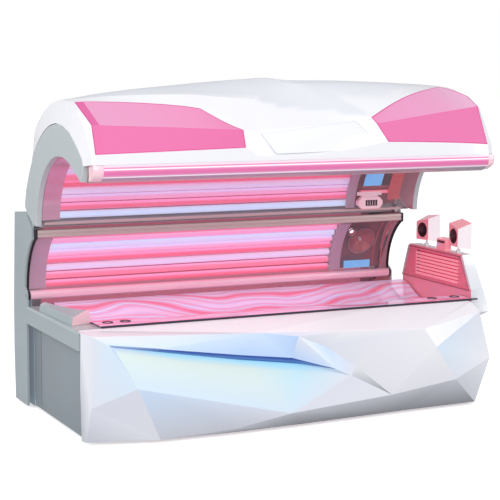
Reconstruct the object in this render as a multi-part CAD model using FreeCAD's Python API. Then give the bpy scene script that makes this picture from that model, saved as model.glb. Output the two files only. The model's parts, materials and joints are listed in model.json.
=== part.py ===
import FreeCAD, Part
import math
import os

# A clamshell tanning bed with its canopy open.
# Working axes, in millimetres: X runs along the bed from the foot end, Y from the front
# to the rear, Z up from the floor. The parts are shifted to the row origin when they are
# written: the middle of the overall footprint, on the floor.

# ---- overall driving sizes
LENGTH = 2445.0
FRONT_Y = -132.0
BACK_Y = 1103.0
ROW_ORIGIN = FreeCAD.Vector(LENGTH / 2, (FRONT_Y + BACK_Y) / 2, 0)

FOOT_HEIGHT = 15.0
DECK_Z = 547.0
RAIL_LOW_Z = 458.0
RAIL_WIDTH = 62.0
SIDE_END_X = 2211.0
HEAD_PANEL_X = 2340.0
BASE_FRONT_Y = 43.0
PILLAR_Y = 872.0

# ---- canopy hinge
HINGE = (750.0, 985.0)
HINGE_PIN_R = 8.0
KNUCKLE_R = 14.0
RUNNING_FIT = 0.05
ARM_X = (33.0, 45.0)
EAR_X = (46.5, 57.0)
POST_X = (57.0, 107.0)
LEVER_LENGTH = 60.0
LEVER_ANGLE = -20.0
SPRING_X = 26.0
SPRING_FOOT = (1020.0, 560.0)
SPRING_EYE_HALF = 6.0
SPRING_TUBE_R = 11.0
SPRING_ROD_R = 4.0
OPEN_PIVOT_PLAY = 4.4

# ---- lamps
LAMP_R = 19.0
LAMP_GLASS = 1.0
SIDE_LAMP_X = (70.0, 1828.0)
BENCH_LAMP_X = (170.0, 2170.0)
HOLDER = 12.0
TANNER_X = (1846.0, 2150.0)

# ---- canopy section: two arcs about one centre
ARCH_CENTRE = (301.0, 985.0)
ARCH_R = 385.0
ARCH_START = 4.0
ARCH_SWEEP = 110.7
ARCH_LIP = 156.0
CANOPY_X = (0.0, 2275.0)
END_PANEL = 30.0

# ---- side bank section and its fold-down pivot
SIDE_CENTRE = (556.0, 640.0)
SIDE_R = 342.0
SIDE_ANGLES = (-1.8, 54.2)
SIDE_PIVOT = (886.0, 604.0)
SIDE_SHEET_X = (22.0, 2200.0)
SIDE_PIN_R = 6.0
CHEEK = 11.0
SHEET = 5.0

# ---- bench sheet
BENCH_X = (142.0, 2284.0)
BENCH_FLANGE_END_X = 2319.0
BENCH_START = (117.0, 556.0)
BENCH_SHEET = 8.0
BENCH_PIVOT = (868.0, 553.0)
BEAD_R = 6.0

# ---- head console
CONSOLE_FACE_X = 2294.0
CONSOLE_TOP_Z = 780.0
CONSOLE_WALL = 5.0
FAN_CENTRE = (510.0, 680.0)
FAN_R = 58.0


def vec(x, y, z):
    return FreeCAD.Vector(x, y, z)


def polar(centre, radius, degrees):
    """Point in the YZ plane at a radius and angle (from +Y towards +Z) about a centre."""
    a = math.radians(degrees)
    return (centre[0] + radius * math.cos(a), centre[1] + radius * math.sin(a))


def prism(outline, x0, x1):
    """Solid whose YZ outline is a list of (y, z), extruded along X."""
    wire = Part.makePolygon([vec(x0, y, z) for y, z in outline + outline[:1]])
    return Part.Face(wire).extrude(vec(x1 - x0, 0, 0))


def long_prism(outline, y0, y1):
    """Solid whose XZ outline is a list of (x, z), extruded along Y."""
    wire = Part.makePolygon([vec(x, y0, z) for x, z in outline + outline[:1]])
    return Part.Face(wire).extrude(vec(0, y1 - y0, 0))


def box(x, y, z):
    """Box from three (low, high) pairs."""
    return Part.makeBox(x[1] - x[0], y[1] - y[0], z[1] - z[0], vec(x[0], y[0], z[0]))


def rod_x(centre, radius, x0, x1):
    """Round bar along X through a (y, z) centre."""
    return Part.makeCylinder(radius, x1 - x0, vec(x0, centre[0], centre[1]), vec(1, 0, 0))


def sector(centre, r0, r1, a0, a1, x0, x1):
    """Curved plate between two radii and two angles, extruded along X."""
    def at(radius, angle):
        y, z = polar(centre, radius, angle)
        return vec(x0, y, z)
    middle = (a0 + a1) / 2
    edges = [
        Part.Arc(at(r0, a0), at(r0, middle), at(r0, a1)).toShape(),
        Part.LineSegment(at(r0, a1), at(r1, a1)).toShape(),
        Part.Arc(at(r1, a1), at(r1, middle), at(r1, a0)).toShape(),
        Part.LineSegment(at(r1, a0), at(r0, a0)).toShape(),
    ]
    return Part.Face(Part.Wire(edges)).extrude(vec(x1 - x0, 0, 0))


def fuse(shapes):
    """One solid from pieces that overlap or share faces."""
    body = shapes[0].multiFuse(shapes[1:]) if len(shapes) > 1 else shapes[0]
    return body.removeSplitter()


def group(shapes):
    """Separate solids kept together in one node."""
    solids = [solid for shape in shapes for solid in shape.Solids]
    return Part.makeCompound(solids)


def mirrored(span):
    """The same X span seen from the head end of the side bank."""
    return (SIDE_END_X - span[1], SIDE_END_X - span[0])


class Ribbon:
    """A YZ path of straight runs and tangent arcs, used for curved sheets and lamp rows.

    Offsets are measured to the right of the direction of travel.
    """

    def __init__(self, start, heading, moves):
        self.pieces = []
        y, z = start
        for kind, size, turn in moves:
            a = math.radians(heading)
            if kind == "line":
                self.pieces.append((kind, (y, z), heading, size, 0.0))
                y += size * math.cos(a)
                z += size * math.sin(a)
                continue
            side = 1.0 if turn > 0 else -1.0
            centre = (y - side * size * math.sin(a), z + side * size * math.cos(a))
            length = size * math.radians(abs(turn))
            self.pieces.append((kind, centre, heading, length, side * size))
            heading += turn
            a = math.radians(heading)
            y = centre[0] + side * size * math.sin(a)
            z = centre[1] - side * size * math.cos(a)
        self.length = sum(piece[3] for piece in self.pieces)

    def at(self, run, offset=0.0):
        """Point at a run along the path, moved to the right by an offset."""
        for piece in self.pieces[:-1]:
            if run <= piece[3]:
                return self.on(piece, run, offset)
            run -= piece[3]
        return self.on(self.pieces[-1], run, offset)

    def on(self, piece, run, offset):
        """Point at a run along one piece of the path."""
        kind, base, heading, _, radius = piece
        a = math.radians(heading)
        if kind == "line":
            return (base[0] + run * math.cos(a) + offset * math.sin(a),
                    base[1] + run * math.sin(a) - offset * math.cos(a))
        a += run / radius
        return (base[0] + (radius + offset) * math.sin(a),
                base[1] - (radius + offset) * math.cos(a))

    def edges(self, offset, start, end, x):
        """Edges of the path at one offset between two runs, in the plane of one X."""
        result = []
        passed = 0.0
        for piece in self.pieces:
            low = max(start - passed, 0.0)
            high = min(end - passed, piece[3])
            passed += piece[3]
            if high - low < 0.01:
                continue
            points = [vec(x, *self.on(piece, run, offset)) for run in (low, (low + high) / 2, high)]
            if piece[0] == "line":
                result.append(Part.LineSegment(points[0], points[2]).toShape())
            else:
                result.append(Part.Arc(*points).toShape())
        return result

    def sheet(self, near, far, x0, x1, start=0.0, end=None):
        """Sheet between two offsets, extruded along X."""
        end = self.length if end is None else end
        edges = self.edges(near, start, end, x0) + self.edges(far, start, end, x0)
        for run in (start, end):
            ends = [vec(x0, *self.at(run, offset)) for offset in (near, far)]
            edges.append(Part.LineSegment(*ends).toShape())
        wire = Part.Wire(Part.__sortEdges__(edges))
        return Part.Face(wire).extrude(vec(x1 - x0, 0, 0))


CANOPY_PATH = Ribbon(polar(ARCH_CENTRE, ARCH_R, ARCH_START), 90 + ARCH_START,
                     [("arc", ARCH_R, ARCH_SWEEP), ("line", ARCH_LIP, 0)])
SIDE_PATH = Ribbon(polar(SIDE_CENTRE, SIDE_R, SIDE_ANGLES[0]), 90 + SIDE_ANGLES[0],
                   [("arc", SIDE_R, SIDE_ANGLES[1] - SIDE_ANGLES[0])])
BENCH_PATH = Ribbon(BENCH_START, 0, [("line", 120, 0), ("arc", 150, -32), ("arc", 420, 64),
                                     ("arc", 150, -22), ("line", 46, 0)])


def ring_triangles(ring):
    """A facet's ring of corners as a fan of triangles."""
    return [(ring[0], ring[k], ring[k + 1]) for k in range(1, len(ring) - 1)]


def skin(points, triangles, wall, keep=None):
    """Closed solid between outer triangles and the same triangles moved in by the wall.

    All the triangles set the direction of each corner; keep picks those that belong.
    """
    normals = {key: vec(0, 0, 0) for key in points}
    for a, b, d in triangles:
        normal = (points[b] - points[a]).cross(points[d] - points[a])
        for key in (a, b, d):
            normals[key] = normals[key] + normal
    under = {}
    for key, normal in normals.items():
        under[key] = points[key] - normal * (wall / max(normal.Length, 1e-9))
    kept = [item for item in triangles if keep is None or keep(item)]
    edges = {pair for a, b, d in kept for pair in ((a, b), (b, d), (d, a))}
    faces = []
    for a, b, d in kept:
        faces.append(triangle(points[a], points[b], points[d]))
        faces.append(triangle(under[d], under[b], under[a]))
    for a, b in sorted(edges):
        if (b, a) in edges:
            continue
        rim = [points[b], points[a], under[a], under[b]]
        start = 0 if a < b else 1
        for k in (1, 2):
            faces.append(triangle(rim[start], rim[(start + k) % 4], rim[(start + k + 1) % 4]))
    shell = Part.makeShell(faces)
    shell.sewShape()
    solid = Part.makeSolid(shell)
    if solid.Volume < 0:
        solid.reverse()
    return solid


def triangle(a, b, d):
    return Part.Face(Part.makePolygon([a, b, d, a]))


# ---------------------------------------------------------------- chassis

TRAY_Z = 34.0
TRAY_Y = (60.0, 1060.0)
TRAY_X = (RAIL_WIDTH, HEAD_PANEL_X - 12)


def floor_tray():
    """Folded steel floor pan with turned-up lips, notched round the casing and the posts."""
    plate = box(TRAY_X, TRAY_Y, (TRAY_Z - 4, TRAY_Z))
    lip = 36.0
    rims = [
        box(TRAY_X, (TRAY_Y[0], TRAY_Y[0] + 4), (TRAY_Z, TRAY_Z + lip)),
        box(TRAY_X, (TRAY_Y[1] - 4, TRAY_Y[1]), (TRAY_Z, TRAY_Z + lip)),
        box((TRAY_X[0], TRAY_X[0] + 4), TRAY_Y, (TRAY_Z, TRAY_Z + lip)),
        box((TRAY_X[1] - 4, TRAY_X[1]), TRAY_Y, (TRAY_Z, TRAY_Z + lip)),
    ]
    tray = fuse([plate] + rims)
    for notch in (((2258, 2400), (50, 124)), ((SIDE_END_X, 2400), (PILLAR_Y, 1070))):
        tray = tray.cut(box(*notch, (TRAY_Z - 10, TRAY_Z + lip + 10)))
    return tray.cut(box((50, POST_X[1] + 1), (958, 1042), (TRAY_Z, TRAY_Z + lip + 10)))


def levelling_feet():
    """Six round pads, each with its stud up to the tray."""
    feet = []
    for x in (180.0, 1180.0, 2150.0):
        for y in (130.0, 980.0):
            pad = Part.makeCone(36, 28, 12, vec(x, y, 0), vec(0, 0, 1))
            stud = Part.makeCylinder(8, TRAY_Z - 16, vec(x, y, 12), vec(0, 0, 1))
            feet.append(pad.fuse(stud).removeSplitter())
    return group(feet)


def end_frames():
    """Two pressed bulkheads that carry the bench and its lamp tray."""
    outline = [(66, TRAY_Z), (860, TRAY_Z), (860, 450), (760, 420), (540, 372), (330, 420),
               (230, 470), (120, 480), (66, 440)]
    window = [(180, 110), (740, 110), (740, 330), (540, 300), (300, 330), (180, 380)]
    frames = []
    for x in (146.0, 2196.0):
        plate = prism(outline, x, x + 5)
        frames.append(plate.cut(prism(window, x - 1, x + 6)))
        frames.append(box((x + 5, x + 45), (66, 860), (TRAY_Z, TRAY_Z + 5)))
    return group([fuse(frames[:2]), fuse(frames[2:])])


def ballast_units():
    """Electronic ballasts: finned boxes standing on the tray."""
    units = []
    for index in range(5):
        x = 300.0 + index * 370.0
        body = box((x, x + 300), (250, 380), (TRAY_Z, TRAY_Z + 85))
        fins = [box((x + 20 + k * 32, x + 26 + k * 32), (254, 376), (TRAY_Z + 85, TRAY_Z + 97))
                for k in range(9)]
        units.append(fuse([body] + fins))
    return group(units)


def hinge_side(x_span):
    """Post, ear, hinge pin and spring stud for one end, in foot-end X values."""
    post = box(POST_X, (960, 1040), (TRAY_Z, 1000))
    hollow = box((POST_X[0] + 4, POST_X[1] - 4), (964, 1036), (TRAY_Z, 996))
    ear_outline = [(1040, 860), (1040, 1000), (764, 999), (750, 999), (737, 991), (736, 981),
                   (742, 973.5), (750, 971), (790, 962), (900, 880), (960, 860)]
    ear = prism(ear_outline, *EAR_X)
    pin = rod_x(HINGE, HINGE_PIN_R, ARM_X[0] - 2, EAR_X[1])
    stud = rod_x(SPRING_FOOT, 7.0, SPRING_X - 10, POST_X[0])
    return place(fuse([post.cut(hollow), ear, pin, stud]), x_span)


def place(shape, at_foot):
    """Keep a foot-end piece, or mirror it to the head end of the side bank."""
    if at_foot:
        return shape
    return shape.mirror(vec(SIDE_END_X / 2, 0, 0), vec(1, 0, 0))


def rear_posts():
    return group([hinge_side(True), hinge_side(False)])


# ---------------------------------------------------------------- base casing

def front_skin(light_guide):
    """The front moulding's skin: its white facets, or the ones of the light guide."""
    points = {name: vec(*corner) for name, corner in FRONT_POINTS.items()}
    facets = [facet.split() for facet in FRONT_FACETS + SLOT_FACETS]
    slot = {item for facet in SLOT_FACETS for item in ring_triangles(facet.split())}
    triangles = [item for facet in facets for item in ring_triangles(facet)]
    return skin(points, triangles, 4.0, lambda item: (item in slot) == light_guide)


def front_panel():
    """Faceted front moulding with a shaded upper band over a lit recess."""
    return front_skin(False)


def front_slot_lens():
    """Light guide that closes the slot between the upper band and the recess."""
    return front_skin(True)


# Corners of the front moulding: x along, y (negative is nearer the front), z up.
FRONT_POINTS = {
    "foot_top": (10, 43, 546), "foot_mid": (6, 43, 280), "foot_low": (12, 43, 16),
    "deck_foot": (20, 118, 546), "deck_mid": (1690, 118, 546), "deck_head": (2262, 118, 546),
    "crease_foot": (62, 8, 530), "crease_a": (933, -22, 490), "crease_b": (1381, -36, 468),
    "crease_head": (1878, -50, 446),
    "corner_mid": (43, -12, 185), "corner_low": (22, 8, 16),
    "v1": (252, -95, 278), "low_a": (370, -88, 16), "low_b": (789, -97, 16),
    "low_c": (1131, -83, 16), "low_d": (1746, -37, 16), "tip": (2226, -17, 16),
    "dark_a": (788, -101, 37), "v2": (1070, -112, 85), "v3": (1676, -70, 116),
    "v4": (2086, -45, 158),
    "slot_a": (130, -28, 488), "slot_b": (378, -58, 457), "slot_c": (804, -72, 396),
    "slot_d": (1088, -72, 359), "slot_e": (1343, -66, 280), "slot_f": (1434, -66, 237),
    "pit_a": (150, -20, 478), "pit_b": (392, -32, 440), "pit_c": (810, -38, 372),
    "pit_d": (1139, -40, 326),
    "curve_a": (1135, -52, 462), "curve_b": (1299, -39, 396), "curve_c": (1462, -52, 286),
    "glow": (1954, -55, 344), "head_edge": (2283, 40, 498), "head_max": (2350, 30, 242),
    "head_top": (2267, 100, 540),
    "head_back_top": (2330, 118, 498), "head_back_mid": (2352, 118, 242),
    "head_back_low": (2300, 118, 16),
}

# Facets as rings of corners, counter-clockwise seen from outside.
FRONT_FACETS = (
    "foot_top foot_mid corner_mid crease_foot",
    "foot_mid foot_low corner_low corner_mid",
    "foot_top crease_foot deck_foot",
    "deck_foot crease_foot crease_a deck_mid",
    "crease_a crease_b deck_mid",
    "crease_b crease_head deck_mid",
    "deck_mid crease_head deck_head",
    "deck_head crease_head head_top",
    "crease_head head_edge head_top",
    "crease_foot corner_mid slot_a",
    "corner_mid v1 slot_a",
    "corner_mid low_a v1",
    "corner_mid corner_low low_a",
    "crease_foot slot_a slot_b crease_a",
    "slot_b slot_c crease_a",
    "crease_a slot_c slot_d curve_a",
    "crease_a curve_a crease_b",
    "curve_a slot_d slot_e curve_b",
    "curve_b slot_e slot_f curve_c",
    "curve_c slot_f v3",
    "curve_a curve_b crease_b",
    "curve_b curve_c crease_head crease_b",
    "curve_c v3 crease_head",
    "slot_a v1 pit_a",
    "pit_a v1 pit_b",
    "pit_b v1 v2 pit_c",
    "pit_c v2 pit_d",
    "pit_d v2 slot_f slot_e",
    "slot_f v2 v3",
    "v1 low_a dark_a v2",
    "low_a low_b dark_a",
    "dark_a low_b low_c v2",
    "v2 low_c low_d v3",
    "v3 low_d v4",
    "low_d tip v4",
    "v3 v4 glow crease_head",
    "glow head_edge crease_head",
    "glow v4 head_max head_edge",
    "v4 tip head_max",
    "head_edge head_max head_back_mid head_back_top",
    "head_top head_edge head_back_top",
    "head_max tip head_back_low head_back_mid",
)
SLOT_FACETS = (
    "slot_a pit_a pit_b slot_b",
    "slot_b pit_b pit_c slot_c",
    "slot_c pit_c pit_d slot_d",
    "slot_d pit_d slot_e",
)


def foot_side_rail():
    """Foot-end top rail with the deck plate that carries the foot cover."""
    outline = [(0, RAIL_LOW_Z), (RAIL_WIDTH, RAIL_LOW_Z), (RAIL_WIDTH, DECK_Z - 14),
               (140, DECK_Z - 14), (140, DECK_Z), (8, DECK_Z), (0, DECK_Z - 8)]
    rail = long_prism(outline, BASE_FRONT_Y + 6, PILLAR_Y)
    return rail.cut(box((9, 200), (BASE_FRONT_Y, 119.5), (520, 560)))


def foot_side_panel():
    """Inset panel below the rail, with one upright groove near the pillar."""
    panel = box((RAIL_WIDTH - 18, RAIL_WIDTH), (BASE_FRONT_Y + 6, PILLAR_Y), (FOOT_HEIGHT, RAIL_LOW_Z))
    groove = box((RAIL_WIDTH - 18, RAIL_WIDTH - 12), (762, 770), (FOOT_HEIGHT, RAIL_LOW_Z))
    return panel.cut(groove)


def head_side_panel():
    """Closing panel of the head end, under the console."""
    plate = box((HEAD_PANEL_X - 12, HEAD_PANEL_X), (124, PILLAR_Y), (FOOT_HEIGHT, 444))
    shelf = box((CONSOLE_FACE_X - 6, HEAD_PANEL_X), (124, PILLAR_Y), (430, 444))
    return fuse([plate, shelf])


# Sections of the foot-end moulding from the front to the rear: base, shoulder, crest, brink
# and inner edge, each as (x, y, z).
COVER_SECTIONS = (
    ((32, 229, 547), (38, 233, 588), (106, 250, 617), (128, 257, 620), (139, 268, 584), (139, 268, 547)),
    ((28, 380, 547), (34, 382, 587), (84, 384, 609), (122, 386, 600), (139, 388, 575), (139, 388, 547)),
    ((23, 560, 547), (29, 561, 586), (58, 562, 600), (112, 563, 584), (139, 564, 566), (139, 564, 547)),
    ((18, 716, 547), (24, 714, 584), (50, 712, 594), (104, 712, 576), (139, 712, 560), (139, 712, 547)),
)


def foot_end_cover():
    """Raised foot-end moulding whose crest runs inwards towards the front."""
    rings = [[vec(*p) for p in ring] for ring in COVER_SECTIONS]
    faces = []
    for first, second in zip(rings, rings[1:]):
        for k in range(len(first)):
            n = (k + 1) % len(first)
            faces += [triangle(first[k], first[n], second[n]), triangle(first[k], second[n], second[k])]
    for ring in (rings[0], rings[-1]):
        faces += [triangle(ring[0], ring[k], ring[k + 1]) for k in range(1, len(ring) - 1)]
    return Part.Solid(Part.makeShell(faces))


# ---------------------------------------------------------------- rear housing

def rear_cheeks():
    """End plates of the rear housing; the front edges follow the side bank."""
    def cheek(x0, x1, inset):
        r = SIDE_R + inset
        arc_from = polar(SIDE_CENTRE, r, 1)
        arc_mid = polar(SIDE_CENTRE, r, 27)
        arc_to = polar(SIDE_CENTRE, r, 53)
        corners = [arc_to, (764 + inset, 979), (863, 1047.5), (1064, 1032), (1100, 560), (1103, 300),
                   (1088, FOOT_HEIGHT), (PILLAR_Y, FOOT_HEIGHT), (PILLAR_Y, 575), (PILLAR_Y + 2, 620),
                   (895, 636)]
        points = [vec(x0, y, z) for y, z in corners + [arc_from]]
        edges = [Part.LineSegment(a, b).toShape() for a, b in zip(points, points[1:])]
        edges.append(Part.Arc(points[-1], vec(x0, *arc_mid), points[0]).toShape())
        plate = Part.Face(Part.Wire(edges)).extrude(vec(x1 - x0, 0, 0))
        return plate.cut(rod_x(SIDE_PIVOT, SIDE_PIN_R + RUNNING_FIT, x0 - 1, x1 + 1))
    return group([cheek(0, CHEEK, 4), cheek(SIDE_END_X, SIDE_END_X + CHEEK, 20)])


def rear_cover():
    """Back sheet of the housing: sloped top front, lid and back wall, with fan grilles."""
    outer = [(764, 979), (863, 1047.5), (1064, 1032), (1100, 560), (1103, 300), (1088, FOOT_HEIGHT)]
    inner = [(1085, FOOT_HEIGHT), (1100, 300), (1097, 560), (1061.3, 1029), (864, 1044.2), (767, 977)]
    sheet = prism(outer + inner, CHEEK, SIDE_END_X)
    for span in ((14.0, 60.0), mirrored((14.0, 60.0))):
        sheet = sheet.cut(box(span, (740, 884), (940, 1060)))
    for x in FAN_X:
        for k in range(5):
            z = FAN_Z - 80 + k * 40
            sheet = sheet.cut(box((x - 90, x + 90), (1080, 1110), (z - 7, z + 7)))
    return sheet


FAN_X = (560.0, 1650.0)
FAN_Z = 300.0


def side_reflector():
    """Polished sheet behind the side lamps, with the plain end cover at the foot end."""
    back = SIDE_PATH.sheet(60, 62, SIDE_LAMP_X[0] - HOLDER, SIDE_LAMP_X[1] + HOLDER, 6, 322)
    cover = SIDE_PATH.sheet(9, 11, 23, 118, 6, 322)
    return group([back, cover])


def lamp_row(path, offset, runs, span):
    """Glass tubes along X at runs of a path."""
    tubes = []
    for run in runs:
        centre = path.at(run, offset)
        tubes.append(rod_x(centre, LAMP_R, *span).cut(rod_x(centre, LAMP_R - LAMP_GLASS, *span)))
    return tubes


SIDE_RUNS = [24 + 40.5 * k for k in range(8)]
BENCH_RUNS = [150] + [212 + 45 * k for k in range(11)] + [712]
CANOPY_RUNS = [26 + 40.5 * k for k in range(21)]
SIDE_RED = (1, 2, 4, 7)
BENCH_RED = (0, 2, 4, 6, 8, 10, 12)
CANOPY_RED = (2, 3, 5, 7, 8, 10, 12, 13, 15, 17, 18)
SIDE_LAMP_OFFSET = 36.0
BENCH_LAMP_OFFSET = 42.0
CANOPY_LAMP_OFFSET = 38.0


def base_lamps(red):
    """The base's tubes of one kind: side bank and bench."""
    side = [run for k, run in enumerate(SIDE_RUNS) if (k in SIDE_RED) == red]
    bench = [run for k, run in enumerate(BENCH_RUNS) if (k in BENCH_RED) == red]
    return group(lamp_row(SIDE_PATH, SIDE_LAMP_OFFSET, side, SIDE_LAMP_X)
                 + lamp_row(BENCH_PATH, BENCH_LAMP_OFFSET, bench, BENCH_LAMP_X))


def base_lamp_holders():
    """Socket strips at both ends of the side and bench tubes."""
    strips = []
    for x in (SIDE_LAMP_X[0] - HOLDER, SIDE_LAMP_X[1]):
        strips.append(SIDE_PATH.sheet(11, 60, x, x + HOLDER, 6, 322))
    for x in (BENCH_LAMP_X[0] - HOLDER, BENCH_LAMP_X[1]):
        strips.append(BENCH_PATH.sheet(20, 66, x, x + HOLDER, 124, 736))
    return group(strips)


def bench_reflector():
    """Trough under the bench tubes and the gutter that the sheet's rear bead turns in."""
    trough = BENCH_PATH.sheet(66, 68, BENCH_LAMP_X[0] - HOLDER, BENCH_LAMP_X[1] + HOLDER, 100, 716)
    gutter = rod_x(BENCH_PIVOT, BEAD_R + 4.3, BENCH_X[0] + 30, 2180)
    gutter = gutter.cut(rod_x(BENCH_PIVOT, BEAD_R + 0.3, BENCH_X[0], BENCH_X[1]))
    y, z = BENCH_PIVOT
    gutter = gutter.cut(box((BENCH_X[0], BENCH_X[1]), (y - 20, y + 20), (z + 1, z + 20)))
    gutter = gutter.cut(box((BENCH_X[0], BENCH_X[1]), (y - 20, y - 5), (z - 20, z + 20)))
    return group([trough, gutter])


def dish(path, run, x, radius, depth):
    """Shallow round reflector facing the front of a curved bank."""
    y0, z0 = path.at(run, 16)
    y1, z1 = path.at(run, 16 + depth)
    axis = vec(0, y1 - y0, z1 - z0)
    base = vec(x, y0, z0)
    outer = Part.makeCone(radius, radius * 0.35, depth, base, axis)
    inner = Part.makeCone(radius - 3, radius * 0.35 - 3, depth - 3, base, axis)
    return outer.cut(inner)


def shoulder_tanner():
    """Mullion, burner reflectors and back plate at the head end of the side bank."""
    mullion = SIDE_PATH.sheet(8, 11, TANNER_X[0] - 52, TANNER_X[0] + 30, 4, 322)
    back = SIDE_PATH.sheet(60, 62, TANNER_X[0] + 30, TANNER_X[1], 6, 322)
    dishes = [dish(SIDE_PATH, run, TANNER_X[0] + 150, 62, 40) for run in (90.0, 232.0)]
    return group([mullion, back] + dishes)


# ---------------------------------------------------------------- folding side sheet

def side_acrylic():
    return SIDE_PATH.sheet(0, SHEET, *SIDE_SHEET_X)


def side_top_rail():
    """Extruded aluminium handle rail along the top of the side sheet."""
    outline = [(737, 928), (748, 922.5), (766, 922.5), (770, 944), (762, 966), (742, 966), (737, 958)]
    groove = box((20, SIDE_END_X), (735, 739), (938, 946))
    return prism(outline, *SIDE_SHEET_X).cut(groove)


def side_bottom_rail():
    """Extruded aluminium rail round the fold-down pivot."""
    outline = [(866, 592), (862, 604), (866, 622), (878, 628), (903, 628), (906, 604), (898, 586),
               (878, 582)]
    groove = box((20, SIDE_END_X), (855, 866), (605, 610))
    return prism(outline, *SIDE_SHEET_X).cut(groove)


def side_gaskets():
    """Black end mouldings with the pivot pins and the rail end caps."""
    ends = []
    for x0, x1, pin in ((CHEEK + 0.5, SIDE_SHEET_X[0], (1.0, CHEEK + 0.5)),
                        (SIDE_SHEET_X[1], SIDE_END_X - 0.5, (SIDE_END_X - 0.5, SIDE_END_X + 10))):
        strip = SIDE_PATH.sheet(-5, 9, x0, x1)
        cap = rod_x(SIDE_PIVOT, 24, x0, x1)
        block = prism([(734, 918), (768, 917), (773, 944), (765, 969), (740, 969), (734, 962)], x0, x1)
        ends.append(fuse([strip, cap, block, rod_x(SIDE_PIVOT, SIDE_PIN_R, *pin)]))
    return group(ends)


# ---------------------------------------------------------------- lifting bench sheet

def bench_acrylic():
    """Dished clear sheet with a flat front flange and a round rear bead."""
    body = BENCH_PATH.sheet(0, BENCH_SHEET, BENCH_X[0], BENCH_X[1])
    flange = box((BENCH_X[1], BENCH_FLANGE_END_X), (BENCH_START[0], BENCH_START[0] + 26),
                 (BENCH_START[1] - BENCH_SHEET, BENCH_START[1]))
    bead = rod_x(BENCH_PIVOT, BEAD_R, BENCH_X[0], SIDE_END_X - 15)
    sheet = fuse([body, flange, bead])
    for x in GRIP_X:
        sheet = sheet.cut(Part.makeCylinder(GRIP_R - 6, 40, vec(x, GRIP_Y, 530), vec(0, 0, 1)))
    return sheet


GRIP_X = (211.0, 304.0, 2087.0, 2229.0)
GRIP_Y = 213.0
GRIP_R = 28.0


def bench_sheet_grips():
    """Round rubber grommets in the sheet's front flange, flanged above and below."""
    grips = []
    top = BENCH_START[1]
    for x in GRIP_X:
        lip = Part.makeCylinder(GRIP_R, 2.5, vec(x, GRIP_Y, top), vec(0, 0, 1))
        neck = Part.makeCylinder(GRIP_R - 6, BENCH_SHEET, vec(x, GRIP_Y, top - BENCH_SHEET), vec(0, 0, 1))
        bowl = Part.makeCone(10, 16, 7, vec(x, GRIP_Y, top - 4), vec(0, 0, 1))
        grips.append(lip.fuse(neck).cut(bowl).removeSplitter())
    return group(grips)


# ---------------------------------------------------------------- canopy

# Columns of the canopy's outer skin, foot to head: each is ten (x, y, z) corners from the
# lower front edge over the fold, the top of the coloured lens and the crown to the rear.
def end_rim(x):
    """The rim of an end opening, which the end panel fills."""
    return [(x, y, z) for y, z in END_OUTLINE]


END_OUTLINE = [(-47, 1351), (-31, 1382), (36, 1432), (150, 1499), (245, 1525), (363, 1533),
               (490, 1508), (620, 1445), (700, 1380), (754, 1328)]


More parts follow.
